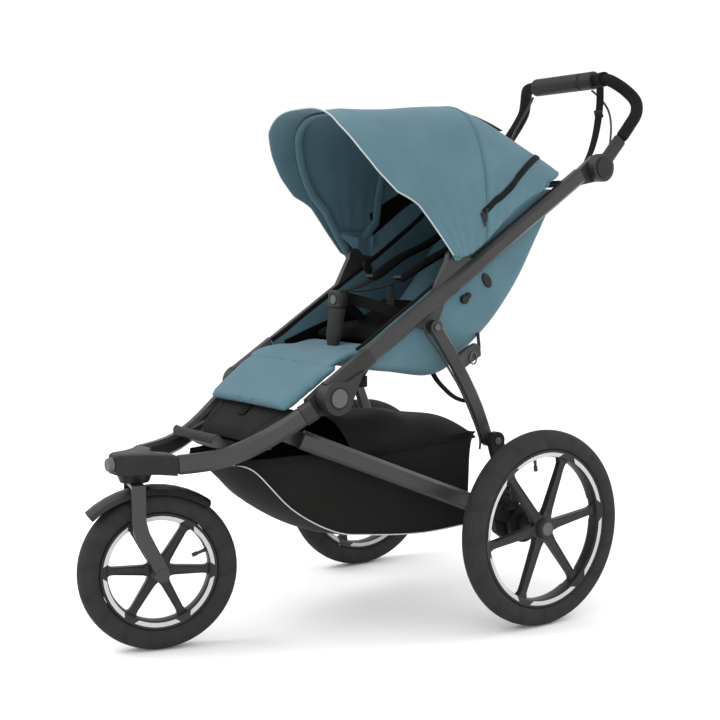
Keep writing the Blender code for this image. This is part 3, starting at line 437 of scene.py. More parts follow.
def swept(
    path: Sequence[Vector],
    section: Sequence[tuple[float, float]],
    up: Vector | None = None,
    scale: Callable[[float], float] | None = None,
) -> bmesh.types.BMesh:
    """A section carried along a path and closed at both ends, with a map in metres.

    Args:
        path: the places of its middle line.
        section: a ring of (across, up).
        up: the direction that the section's up leans to.
        scale: the section's size at each share of the way.
    Returns:
        The mesh.
    """
    lean = up or Vector((0, 0, 1))
    mesh = bmesh.new()
    rings = []
    for number, point in enumerate(path):
        along = (path[min(number + 1, len(path) - 1)] - path[max(number - 1, 0)]).normalized()
        across = along.cross(lean).normalized()
        rise = across.cross(along)
        size = scale(number / (len(path) - 1)) if scale else 1.0
        verts = [mesh.verts.new(point + across * a * size + rise * b * size) for a, b in section]
        rings.append([mesh.edges.new(pair) for pair in zip(verts, verts[1:] + verts[:1])])
    for one, other in zip(rings, rings[1:]):
        bmesh.ops.bridge_loops(mesh, edges=one + other)
    for ring in (rings[0], rings[-1]):
        bmesh.ops.contextual_create(mesh, geom=ring)
    layer = mesh.loops.layers.uv.new("UVMap")
    lengths = np.concatenate([[0], np.cumsum([(b - a).length for a, b in zip(path, path[1:])])])
    spots = np.array([tuple(p) for p in path])
    for face in mesh.faces:
        for loop in face.loops:
            near = int(np.argmin(((spots - np.array(loop.vert.co)) ** 2).sum(1)))
            side = loop.vert.co - path[near]
            loop[layer].uv = (side.x + side.z, lengths[near])
    return mesh


def lathe(profile: Sequence[tuple[float, float]], steps: int = 64, close: bool = True) -> bmesh.types.BMesh:
    """A profile of (x, radius) points turned about the X axis.

    Args:
        profile: the outline's points.
        steps: how many steps a full turn takes.
        close: whether the last point joins the first.
    Returns:
        The mesh, centred on the origin's axis.
    """
    mesh = bmesh.new()
    verts = [mesh.verts.new((x, 0, r)) for x, r in profile]
    pairs = list(zip(verts, verts[1:])) + ([(verts[-1], verts[0])] if close else [])
    edges = [mesh.edges.new(pair) for pair in pairs if pair[0].co.z > 0 or pair[1].co.z > 0]
    bmesh.ops.spin(
        mesh,
        geom=verts + edges,
        axis=(1, 0, 0),
        cent=(0, 0, 0),
        angle=math.tau,
        steps=steps,
        use_merge=True,
    )
    bmesh.ops.remove_doubles(mesh, verts=mesh.verts, dist=1e-6)
    layer = mesh.loops.layers.uv.new("UVMap")
    for face in mesh.faces:
        middle = face.calc_center_median()
        base = math.atan2(middle.y, middle.z)
        for loop in face.loops:
            co = loop.vert.co
            turn = math.atan2(co.y, co.z)
            turn += math.tau * round((base - turn) / math.tau)
            radius = math.hypot(co.y, co.z)
            loop[layer].uv = (turn * 0.2, math.copysign(0.3 - radius, co.x) + co.x * 0.2)
    return mesh


def surface(
    columns: int,
    rows: int,
    place: Callable[[float, float], Vector],
    size: tuple[float, float],
) -> bmesh.types.BMesh:
    """A grid laid on a surface.

    Args:
        columns: squares across.
        rows: squares along.
        place: the point at each (across, along), both from 0 to 1.
        size: how many metres the grid's map is across and along.
    Returns:
        The mesh, open, with its map in metres.
    """
    mesh = bmesh.new()
    bmesh.ops.create_grid(mesh, x_segments=columns, y_segments=rows, size=0.5, calc_uvs=False)
    layer = mesh.loops.layers.uv.new("UVMap")
    for face in mesh.faces:
        for loop in face.loops:
            co = loop.vert.co
            loop[layer].uv = ((co.x + 0.5) * size[0], (co.y + 0.5) * size[1])
    for vert in mesh.verts:
        vert.co = place(vert.co.x + 0.5, vert.co.y + 0.5)
    return mesh


def joined(meshes: Sequence[bmesh.types.BMesh]) -> bmesh.types.BMesh:
    """Several meshes as one. The others are freed."""
    first = meshes[0]
    for other in meshes[1:]:
        data = bpy.data.meshes.new("part")
        other.to_mesh(data)
        other.free()
        first.from_mesh(data)
        bpy.data.meshes.remove(data)
    return first


def moved(mesh: bmesh.types.BMesh, matrix: Matrix) -> bmesh.types.BMesh:
    """The mesh after a transform, with its faces still pointing out."""
    bmesh.ops.transform(mesh, matrix=matrix, verts=mesh.verts)
    if matrix.determinant() < 0:
        bmesh.ops.reverse_faces(mesh, faces=mesh.faces)
    return mesh


def rounded_block(low: Vector, high: Vector, radius: float, segments: int = 3) -> bmesh.types.BMesh:
    """A box between two corners with all its edges rounded."""
    mesh = bmesh.new()
    bmesh.ops.create_cube(mesh, size=1)
    bmesh.ops.scale(mesh, vec=high - low, verts=mesh.verts)
    bmesh.ops.translate(mesh, vec=(low + high) / 2, verts=mesh.verts)
    bmesh.ops.bevel(
        mesh, geom=mesh.edges[:], offset=radius, segments=segments, profile=0.5, affect="EDGES", material=-1
    )
    return mesh


def drum(centre: Vector, radius: float, depth: float, edge: float, steps: int = 40) -> bmesh.types.BMesh:
    """A short round post along X with rounded rims, its middle at centre."""
    half = depth / 2
    profile = [
        (-half, 0), (-half, radius - edge), (edge - half, radius), (half - edge, radius),
        (half, radius - edge), (half, 0),
    ]
    return moved(lathe(profile, steps), Matrix.Translation(centre))


def piece(
    name: str,
    mesh: bmesh.types.BMesh,
    finish: Finish,
    slot: str,
    smooth: float = 42.0,
    outward: bool = True,
) -> bpy.types.Object:
    """Makes an object of a mesh, and dresses it.

    Args:
        name: the piece's name.
        mesh: its mesh, in place. It is freed.
        finish: its material.
        slot: not used.
        smooth: edges sharper than this many degrees stay sharp.
        outward: whether to turn its faces outward first.
    Returns:
        The object.
    """
    if outward:
        bmesh.ops.recalc_face_normals(mesh, faces=mesh.faces)
    data = bpy.data.meshes.new(name)
    mesh.to_mesh(data)
    mesh.free()
    data.materials.append(material(finish))
    data.shade_smooth()
    data.set_sharp_from_angle(angle=math.radians(smooth))
    made = bpy.data.objects.new(name, data)
    bpy.context.scene.collection.objects.link(made)
    return made


def worn(made: bpy.types.Object, body: str, node: str) -> None:
    """Puts a piece on a body, in a CAD node's place."""
    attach(made, body)
    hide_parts(node)


def thicken(mesh: bmesh.types.BMesh, thickness: float) -> None:
    """Gives an open sheet its thickness."""
    bmesh.ops.solidify(mesh, geom=mesh.faces[:], thickness=thickness)


def modify(made: bpy.types.Object, kind: str, **settings: object) -> bpy.types.Object:
    """Adds a modifier with its settings."""
    step = made.modifiers.new(kind.lower(), kind)
    for name, value in settings.items():
        setattr(step, name, value)
    return made


def applied(made: bpy.types.Object) -> bpy.types.Object:
    """Applies every modifier of the object to its mesh."""
    graph = bpy.context.evaluated_depsgraph_get()
    data = bpy.data.meshes.new_from_object(made.evaluated_get(graph))
    made.modifiers.clear()
    made.data = data
    return made


def refined(frame: dict, node: str, finish: Finish, slot: str, body: str, edge: float = 0.0015) -> bpy.types.Object:
    """A hard CAD node with its edges rounded.

    Args:
        node: the node's name.
        finish: its material.
        slot: not used; it is only passed on to piece.
        body: the body it rides on.
        edge: radius of the rounding.
    Returns:
        The piece that stands for the node.
    """
    mesh = bmesh.new()
    mesh.from_mesh(frame["nodes"][node].data)
    bmesh.ops.remove_doubles(mesh, verts=mesh.verts, dist=2e-5)
    bmesh.ops.dissolve_limit(
        mesh, angle_limit=math.radians(0.6), verts=mesh.verts, edges=mesh.edges, use_dissolve_boundaries=False
    )
    made = piece(f"{node}_finished", mesh, finish, slot, smooth=32, outward=False)
    if edge:
        modify(
            made,
            "BEVEL",
            width=edge,
            segments=2,
            limit_method="ANGLE",
            angle_limit=math.radians(32),
            harden_normals=True,
        )
    worn(made, body, node)
    return made


def inflated(made: bpy.types.Object, voxel: float, cap: float, pressure: float = 4.0) -> bpy.types.Object:
    """Blows a closed shape up as cloth, holding each point within a cap of where it was.

    Args:
        made: the slightly thin shape.
        voxel: size of the squares it is remeshed to.
        cap: how far a point may move.
        pressure: the air's push.
    Returns:
        The same object, puffed and smooth.
    """
    modify(made, "REMESH", mode="VOXEL", voxel_size=voxel, use_smooth_shade=True)
    applied(made)
    start = np.empty(len(made.data.vertices) * 3)
    made.data.vertices.foreach_get("co", start)
    cloth = made.modifiers.new("cloth", "CLOTH")
    cloth.settings.use_pressure = True
    cloth.settings.uniform_pressure_force = pressure
    cloth.settings.effector_weights.gravity = 0
    cloth.settings.quality = 4
    cloth.settings.tension_stiffness = 12
    scene = bpy.context.scene
    for number in range(1, CLOTH_FRAMES + 1):
        scene.frame_set(number)
    applied(made)
    scene.frame_set(1)
    end = np.empty_like(start)
    made.data.vertices.foreach_get("co", end)
    move = (end - start).reshape(-1, 3)
    reach = np.linalg.norm(move, axis=1, keepdims=True)
    move *= np.minimum(1, cap / np.maximum(reach, 1e-9))
    made.data.vertices.foreach_set("co", (start + move.ravel()))
    smoother = bmesh.new()
    smoother.from_mesh(made.data)
    for _ in range(SMOOTHINGS):
        bmesh.ops.smooth_vert(
            smoother,
            verts=smoother.verts,
            factor=0.5,
            use_axis_x=True,
            use_axis_y=True,
            use_axis_z=True,
        )
    smoother.to_mesh(made.data)
    smoother.free()
    made.data.shade_smooth()
    return made


def sewn(made: bpy.types.Object, seams: Sequence[tuple[Vector, Vector, float, float]]) -> bpy.types.Object:
    """Presses sewn channels into a puffed piece.

    Args:
        made: the piece.
        seams: for each, two ends of its line, its half width and its depth.
    Returns:
        The same object.
    """
    mesh = made.data
    mesh.update()
    count = len(mesh.vertices)
    co, normal = np.empty(count * 3), np.empty(count * 3)
    mesh.vertices.foreach_get("co", co)
    mesh.vertex_normals.foreach_get("vector", normal)
    co, normal = co.reshape(-1, 3), normal.reshape(-1, 3)
    for start, end, half, depth in seams:
        a, b = np.array(start), np.array(end)
        along = (b - a) / np.linalg.norm(b - a)
        way = np.clip((co - a) @ along, 0, np.linalg.norm(b - a))
        away = np.linalg.norm(co - (a + way[:, None] * along), axis=1)
        co -= normal * (depth * np.exp(-((away / half) ** 2)))[:, None]
    mesh.vertices.foreach_set("co", co.ravel())
    mesh.update()
    return made


# ------------------------------------------------------------------ wheels


@dataclass
class Wheel:
    """A spoked wheel with its tyre, drawn about the origin and set on its axle.

    Attributes:
        name: front, rear_left or rear_right.
        centre: the middle of the wheel.
        turn: how far its axle is turned about the vertical.
        radius: the tyre's outer radius.
        width: the tyre's width.
        rim: where the tyre meets the rim.
        first_spoke: degrees from +Z towards +Y.
        hub: (inner x, outer x, radius) of the barrel.
        body: the body it rides on.
        nodes: the CAD nodes of its rim and its tyre.
        spokes: how many spokes it has.
    """

    name: str
    centre: Vector
    turn: float
    radius: float
    width: float
    rim: float
    first_spoke: float
    hub: tuple[float, float, float]
    body: str
    nodes: tuple[str, str] = ("", "")
    spokes: int = 6

    @property
    def rim_half(self) -> float:
        """Half the rim's width, which is wider under the front wheel's broad tyre."""
        return 0.5 * (0.034 if self.width > 0.048 else 0.032)

    def set_down(self, mesh: bmesh.types.BMesh) -> bmesh.types.BMesh:
        """The mesh on its axle."""
        return moved(mesh, Matrix.Translation(self.centre) @ Matrix.Rotation(self.turn, 4, "Z"))

    def tyre(self) -> bpy.types.Object:
        """A tyre with a crowned tread, grooves round it and a step on each sidewall."""
        half, tall = self.width / 2, self.radius - self.rim
        side = [
            (0.62, 0.0),
            (0.80, 0.05),
            (0.93, 0.20),
            (0.985, 0.40),
            (1.0, 0.52),
            (0.985, 0.62),
            (0.945, 0.66),
            (0.93, 0.72),
            (0.86, 0.80),
            (0.72, 0.89),
            (0.66, 0.905),
            (0.63, 0.895),
            (0.60, 0.925),
            (0.42, 0.965),
            (0.30, 0.982),
            (0.27, 0.970),
            (0.24, 0.986),
            (0.0, 1.0),
        ]
        profile = [(-x * half, self.rim + 0.0004 + r * (tall - 0.0004)) for x, r in side]
        profile += [(-x, r) for x, r in reversed(profile[:-1])]
        made = piece(f"{self.name}_tyre_carcass", self.set_down(lathe(profile, 112)), TYRE, "tyre_rubber", smooth=60)
        worn(made, self.body, self.nodes[1])
        return made

    def beam(self) -> bmesh.types.BMesh:
        """One spoke up the Z axis: flared at both ends, with a channel down its faces."""
        start, end = self.hub[2] - 0.003, self.rim - 0.0125
        mesh = bmesh.new()
        bmesh.ops.create_cube(mesh, size=1)
        upright = [e for e in mesh.edges if abs((e.verts[0].co - e.verts[1].co).z) > 0.5]
        bmesh.ops.subdivide_edges(mesh, edges=upright, cuts=6, use_grid_fill=True)
        shares = [0.0, 0.07, 0.18, 0.5, 0.82, 0.90, 0.955, 1.0]
        widths = [0.0270, 0.0235, 0.0185, 0.0165, 0.0150, 0.0165, 0.0250, 0.0320]
        for vert in mesh.verts:
            k = round((vert.co.z + 0.5) * 7)
            vert.co = Vector((vert.co.x * (0.0165 - 0.0035 * shares[k]), vert.co.y * widths[k], start + (end - start) * shares[k]))
        faces = [f for f in mesh.faces if abs(f.normal.x) > 0.9 and start + 0.01 < f.calc_center_median().z < end - 0.016]
        for sign in (1, -1):
            chosen = [f for f in faces if f.normal.x * sign > 0]
            bmesh.ops.inset_region(mesh, faces=chosen, thickness=0.0032, depth=0.0, use_even_offset=True)
            inner = [v for f in chosen for v in f.verts]
            bmesh.ops.translate(mesh, vec=(-0.0028 * sign, 0, 0), verts=list(set(inner)))
        bmesh.ops.bevel(
            mesh,
            geom=[e for e in mesh.edges if e.calc_face_angle(0) > 0.9],
            offset=0.0008,
            segments=1,
            profile=0.5,
            affect="EDGES",
            material=-1,
        )
        return mesh

    def rim_and_spokes(self) -> bpy.types.Object:
        """The rim's ring, the hub barrel with its stepped cap, and the spokes."""
        half = self.rim_half
        out, deep = self.rim - 0.0003, self.rim - 0.0165
        ring = [
            (-half, out),
            (-half - 0.0012, out - 0.0012),
            (-half, out - 0.0035),
            (-half + 0.0010, deep + 0.006),
            (-half * 0.72, deep + 0.0012),
            (-half * 0.45, deep),
        ]
        ring += [(-x, r) for x, r in reversed(ring)]
        low, high, radius = self.hub
        cap = [
            (low, 0.0064),
            (low, radius * 0.93),
            (low + 0.0015, radius),
            (high - 0.0060, radius),
            (high - 0.0050, radius * 0.93),
            (high - 0.0012, radius * 0.90),
            (high, radius * 0.80),
            (high, 0.0064),
        ]
        if self.name == "rear_right":
            cap = [(-x, r) for x, r in cap]
        parts = [lathe(ring, 112), lathe(cap, 40)]
        for k in range(self.spokes):
            turn = math.radians(self.first_spoke) + math.tau * k / self.spokes
            parts.append(moved(self.beam(), Matrix.Rotation(-turn, 4, "X")))
        made = piece(
            f"{self.name}_wheel",
            self.set_down(joined(parts)),
            WHEEL_NYLON,
            "wheel_plastic",
            smooth=35,
            outward=False,
        )
        worn(made, self.body, self.nodes[0])
        return made

    def reflectors(self) -> bpy.types.Object:
        """Strips of film on both faces of the rim, between the spokes, with slanted ends."""
        half = self.rim_half
        low, high = self.rim - 0.0138, self.rim - 0.0062
        parts = []
        for face in (1, -1):
            for k in range(self.spokes):
                middle = math.radians(self.first_spoke) + math.tau * (k + 0.5) / self.spokes

                def place(across: float, along: float, face: int = face, middle: float = middle) -> Vector:
                    """The place on the sheet at (across, along)."""
                    radius = low + (high - low) * across
                    reach = math.radians(20.5 + 3.5 * across)
                    turn = middle + reach * (2 * along - 1)
                    x = face * (half - 0.0002 + 0.0010 * across)
                    return Vector((x, radius * math.sin(turn), radius * math.cos(turn)))

                strip = surface(1, 20, place, (0.008, 0.1))
                thicken(strip, 0.0008)
                parts.append(strip)
        made = piece(f"{self.name}_rim_reflectors", self.set_down(joined(parts)), REFLECTIVE, "wheel_plastic")
        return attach(made, self.body)

    def centre_parts(self) -> None:
        """The hub's cap and the valve."""
        _, high, radius = self.hub
        outer = high if self.name != "rear_right" else -high
        sign = 1 if outer > 0 else -1
        depth = 0.0026
        cap = [(0, 0.0001), (0, radius * 0.62), (0.0008, radius * 0.66), (depth, radius * 0.60), (depth, radius * 0.40)]
        cap += [(depth - 0.0008, radius * 0.36), (depth - 0.0008, 0.0001)]
        if self.name != "front":
            mesh = lathe([(outer + sign * x, r) for x, r in cap], 40)
            made = piece(f"{self.name}_hub_cap", self.set_down(mesh), GREY_NYLON, "grey_plastic")
            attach(made, self.body)
        turn = math.radians(self.first_spoke + 30 + (8 if self.name == "front" else -60))
        stem = [
            (0.0, 0.0), (0.0, 0.0042), (0.008, 0.0034), (0.016, 0.0030), (0.017, 0.0042), (0.027, 0.0042),
            (0.028, 0.0030), (0.028, 0.0),
        ]
        mesh = lathe(stem, 16)
        bmesh.ops.rotate(mesh, cent=(0, 0, 0), matrix=Matrix.Rotation(math.pi / 2, 3, "Y"), verts=mesh.verts)
        bmesh.ops.translate(mesh, vec=(0, 0, self.rim - 0.0160), verts=mesh.verts)
        bmesh.ops.rotate(mesh, cent=(0, 0, 0), matrix=Matrix.Rotation(-turn, 3, "X"), verts=mesh.verts)
        made = piece(f"{self.name}_valve", self.set_down(mesh), CABLE, "tyre_rubber")
        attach(made, self.body)

    def build(self) -> None:
        """Makes the wheel's pieces."""
        self.tyre()
        self.rim_and_spokes()
        self.reflectors()
        self.centre_parts()
        LOG.info("%s wheel", self.name)


# ------------------------------------------------------------------ canopy


@dataclass
class Canopy:
    """The folding canopy: a visor panel and a rear panel over two bows.

    Attributes:
        stations: from the visor's edge to the back, each a hem (x, y, z), a top (y, z) and a bulge.
        middle: the station of the middle bow.
        wall: the fabric's drawn thickness.
        edge_line: how far forward the visor's edge is at each share of its rise.
        pivot: where both bows turn, on the left.
    """

    stations: list[tuple[Point, Point, float]] = field(
        default_factory=lambda: [
            ((0.203, -0.133, 0.763), (-0.381, 1.059), 0.45),
            ((0.205, -0.124, 0.758), (-0.310, 1.062), 0.58),
            ((0.205, -0.110, 0.760), (-0.205, 1.070), 0.78),
            ((0.204, -0.085, 0.770), (-0.110, 1.080), 0.95),
            ((0.203, -0.050, 0.793), (-0.035, 1.080), 1.0),
            ((0.201, -0.015, 0.822), (0.030, 1.062), 1.0),
            ((0.199, 0.030, 0.858), (0.085, 1.036), 1.0),
            ((0.197, 0.075, 0.884), (0.140, 1.006), 1.0),
            ((0.194, 0.115, 0.900), (0.190, 0.977), 1.0),
            ((0.190, 0.132, 0.919), (0.222, 0.952), 1.0),
        ]
    )
    middle: int = 4
    wall: float = 0.0026
    edge_line: tuple[tuple[float, float], ...] = (
        (0.0, -0.140),
        (0.124, -0.171),
        (0.248, -0.201),
        (0.345, -0.226),
        (0.385, -0.246),
        (0.425, -0.274),
        (0.559, -0.314),
        (0.702, -0.345),
        (0.867, -0.374),
        (1.0, -0.381),
    )
    pivot: tuple[float, float, float] = (0.190, -0.121, 0.757)

    def station(self, t: float) -> np.ndarray:
        """The station's six numbers at a place between stations."""
        return between(np.array([[*hem, *top, bulge] for hem, top, bulge in self.stations]), t)

    def point(self, s: float, t: float, inset: float = 0.0) -> Vector:
        """A place on the canopy.

        Args:
            s: from -1 at the right hem over the top to 1 at the left hem.
            t: the station, which may lie between two.
            inset: how far inside the fabric.
        Returns:
            The place.
        """
        x, y, z, top_y, top_z, bulge = self.station(t)
        turn = math.pi / 2 * (1 - abs(s) ** 1.35)
        rise = math.sin(turn)
        half = (x - inset) * math.copysign(max(math.cos(turn), 0.0) ** 0.62, s)
        bows = ((0.0, 1.0), (1.0, float(self.middle)), (float(self.middle), 9.0))
        low, high = next(pair for pair in bows if t <= pair[1] + 1e-9)
        sag = 4 * (t - low) * (high - t) / (high - low) ** 2 * 0.0045 * rise
        fold = 0.0016 * math.sin(9.0 * t + 2.2 * abs(s)) * (1 - rise) * min(1.0, t) * 0.5
        if abs(s) < 1e-9:
            half = 0.0
        shaped = np.interp(rise, *zip(*self.edge_line)) - (-0.133 - 0.248 * rise**0.45)
        forward = y + (top_y - y) * rise**bulge + shaped * max(0.0, 1 - t / 2.4) ** 1.2
        return at(half * (1 - 3.0 * sag) + fold * (1 if s > 0 else -1), forward, z + (top_z - inset - sag - z) * rise)

    def drape(self, made: bpy.types.Object) -> None:
        """Bakes a piece's place into its mesh; it rides on no body."""
        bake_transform(made)

    def panel(
        self,
        name: str,
        low: float,
        high: float,
        rows: int,
        node: str,
    ) -> bpy.types.Object:
        """One panel of the canopy's fabric.

        Args:
            name: the piece's name.
            low: its first station.
            high: its last station.
            rows: squares from front to back.
            node: the CAD node it stands for.
        Returns:
            The piece.
        """
        mesh = surface(104, rows, lambda u, v: self.point(2 * u - 1, low + (high - low) * v), (0.85, 0.42))
        made = piece(name, mesh, TEAL, "teal_fabric", smooth=75)
        if made.data.polygons[len(made.data.polygons) // 2].normal.z < 0:
            made.data.flip_normals()
        modify(made, "SOLIDIFY", thickness=self.wall, offset=-1.0)
        applied(made)
        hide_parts(node)
        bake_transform(made)
        return made

    def edge(
        self,
        name: str,
        t: float,
        finish: Finish,
        radius: float,
        body: str,
        lift: float = 0.0,
    ) -> bpy.types.Object:
        """A cord of piping or a seam across the canopy at one station."""
        path = [self.point(s, t, -lift) for s in np.linspace(-1, 1, 121)]
        made = piece(name, swept(path, round_section(radius, 8), up=Vector((0, 1, 0.3))), finish, "teal_fabric")
        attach(made, body)
        return made

    def bow(self, name: str, station: int, foot: float, node: str, body: str) -> bpy.types.Object:
        """A bow in its fabric sleeve, with its bare foot on the pivot."""
        arch = [self.point(s, station, 0.0085) for s in np.linspace(-0.93, 0.93, 61)]
        left = Vector((foot, self.pivot[1] + AXLE_Y, self.pivot[2]))
        path = [Vector((-left.x, left.y, left.z)), *arch, left]
        flat = [(a * 0.0048, b * 0.0105) for a, b in round_section(1.0, 12)]
        made = piece(name, swept(path, flat, up=Vector((0, 1, 0.1))), TEAL, "teal_fabric", smooth=60)
        worn(made, body, node)
        return made

    def zip_strip(self, sign: int) -> bpy.types.Object:
        """The black zip on one side, from its two pullers up over the shoulder."""
        marks = [
            (0.895, 3.72), (0.875, 4.47), (0.862, 5.13), (0.82, 5.75), (0.70, 6.55), (0.53, 7.25),
            (0.36, 7.70), (0.18, 7.98), (0.0, 8.05),
        ]
        rows = smooth_path([Vector((s, t, 0)) for s, t in marks], 8)
        spine = [self.point(row.x * sign if row.x > 1e-6 else 0.0, row.y, -0.0022) for row in rows]

        def place(across: float, along: float) -> Vector:
            """The place on the sheet at (across, along)."""
            k = min(round(along * (len(rows) - 1)), len(rows) - 1)
            s, t = rows[k].x * sign, rows[k].y
            ahead = (spine[min(k + 1, len(rows) - 1)] - spine[max(k - 1, 0)]).normalized()
            skin = (self.point(s + 0.01, t) - self.point(s - 0.01, t)).cross(self.point(s, t + 0.05) - self.point(s, t - 0.05)).normalized()
            if skin.dot(spine[k] - at(0, -0.02, 0.9)) < 0:
                skin = -skin
            side = ahead.cross(skin).normalized()
            return spine[k] + side * (across - 0.5) * 0.0125 + skin * 0.0012 * math.sin(math.pi * across)

        mesh = surface(4, len(rows) - 1, place, (0.02, 0.4))
        thicken(mesh, 0.0014)
        made = piece(f"canopy_zip_{'left' if sign > 0 else 'right'}", mesh, WEBBING, "webbing")
        self.drape(made)
        return made

    def pullers(self, sign: int) -> None:
        """The two sliders with hanging tabs at the zip's lower end."""
        side = "left" if sign > 0 else "right"
        parts = []
        for s, t, lean in ((0.900, 3.62, 0.35), (0.893, 3.86, -0.25)):
            top = self.point(s * sign, t, -0.003)
            slider = rounded_block(top - Vector((0.002, 0.004, 0.005)), top + Vector((0.002, 0.004, 0.005)), 0.0012, 2)
            down = [
                top, top + Vector((0.002 * sign, lean * 0.006, -0.010)),
                top + Vector((0.0025 * sign, lean * 0.014, -0.024)),
            ]
            tab = swept(smooth_path(down, 4), box_section(0.005, 0.0016, 0.0005), up=Vector((1, 0, 0)))
            parts += [slider, tab]
        made = piece(f"canopy_zip_pullers_{side}", joined(parts), NYLON, "moulded_black")
        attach(made, "canopy_middle")

    def pocket(self) -> None:
        """The rounded flap inside each wall of the visor that takes the ends of both bows, and a mesh window behind it."""
        for side, sign in SIDES.items():

            def place(across: float, along: float, sign: int = sign) -> Vector:
                """The place on the sheet at (across, along)."""
                left, right = -0.168 + 0.052 * along, -0.066 + 0.002 * along
                low = 0.812 - 0.070 * max(0.04, 1 - abs(2 * across - 1) ** 2.6) ** 0.5
                z = 0.812 + (low - 0.812) * along
                round_in = 0.004 * along**4
                y = left + round_in + (right - left - 2 * round_in) * across
                swell = 0.011 * math.sin(math.pi * across) * math.sin(math.pi * (0.12 + 0.80 * along))
                return at(sign * (0.1955 - swell - 0.022 * along**1.4), y, z)

            mesh = surface(18, 14, place, (0.1, 0.08))
            thicken(mesh, 0.0022)
            made = piece(f"canopy_pocket_{side}", mesh, TEAL, "teal_fabric", smooth=60)
            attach(made, "upper_frame")
            brim = [place(u, 0.0) + Vector((-0.001 * sign, 0, 0.001)) for u in np.linspace(0, 1, 14)]
            hem = piece(f"canopy_pocket_hem_{side}", swept(brim, round_section(0.0014, 8)), TEAL_PAD, "teal_fabric")
            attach(hem, "upper_frame")

            def window(across: float, along: float, sign: int = sign) -> Vector:
                """The place on the mesh window at (across, along)."""
                t = (3.60 + 0.35 * along) * (1 - across) + (5.6 + 1.5 * along) * across
                s = 0.885 - 0.04 * across + (0.10 + 0.03 * across) * along
                return self.point(min(s, 0.995) * sign, t, 0.0045)

            net = surface(16, 8, window, (0.2, 0.1))
            thicken(net, 0.001)
            mesh_window = piece(f"canopy_window_{side}", net, BLACK_PAD, "black_fabric", smooth=60)
            self.drape(mesh_window)

    def curtain(self) -> None:
        """The cloth inside each hem that closes the gap down to the seat's rim."""
        for side, sign in SIDES.items():

            def place(across: float, along: float, sign: int = sign) -> Vector:
                """The place on the sheet at (across, along)."""
                top = self.point(0.975 * sign, 3.4 + 5.4 * across, 0.0090)
                y = top.y - AXLE_Y
                low = at(sign * 0.1640, y - 0.006, 0.547 + 0.6485 * (y + 0.363) + 0.004)
                hung = top.lerp(low, along)
                hung.x -= sign * 0.006 * math.sin(math.pi * along)
                return hung

            mesh = surface(40, 6, place, (0.3, 0.06))
            thicken(mesh, 0.0016)
            made = piece(f"canopy_curtain_{side}", mesh, TEAL, "teal_fabric", smooth=60)
            self.drape(made)

    def vent(self) -> None:
        """The flap over the vent at the top of the rear panel, with the dark slot under it."""

        def place(across: float, along: float) -> Vector:
            """The place on the sheet at (across, along)."""
            s = (2 * across - 1) * 0.30
            t = 4.75 + 1.45 * along * (1 - 0.15 * abs(2 * across - 1) ** 3)
            return self.point(s, t, -0.0020 - 0.0055 * along)

        flap = surface(20, 8, place, (0.2, 0.08))
        thicken(flap, 0.0018)
        made = piece("canopy_vent_flap", flap, TEAL, "teal_fabric", smooth=60)
        self.drape(made)
        slot = surface(16, 2, lambda u, v: self.point((2 * u - 1) * 0.27, 5.95 + 0.22 * v, -0.0012), (0.2, 0.02))
        thicken(slot, 0.0012)
        dark = piece("canopy_vent_net", slot, BLACK_PAD, "black_fabric", smooth=60)
        self.drape(dark)

    def build(self) -> None:
        """Makes the canopy."""
        front = self.panel(
            "canopy_visor_cloth",
            0.0,
            self.middle - 0.02,
            40,
            "canopy_visor_fabric",
        )
        rear = self.panel(
            "canopy_rear_cloth",
            self.middle,
            9.0,
            36,
            "canopy_rear_fabric",
        )
        self.edge("canopy_edge_piping", 0.0, PIPING, 0.0014, "canopy_front")
        self.edge("canopy_middle_seam", self.middle - 0.01, TEAL_PAD, 0.0016, "canopy_middle", 0.0002)
        self.bow("canopy_middle_bow_sleeve", self.middle, 0.1880, "canopy_middle_bow", "canopy_middle")
        self.bow("canopy_front_bow_sleeve", 1, 0.1965, "canopy_front_bow", "canopy_front")
        for sign in SIDES.values():
            self.zip_strip(sign)
            self.pullers(sign)
        self.pocket()
        self.vent()
        self.curtain()
        LOG.info("canopy")


# ------------------------------------------------------------------ seat


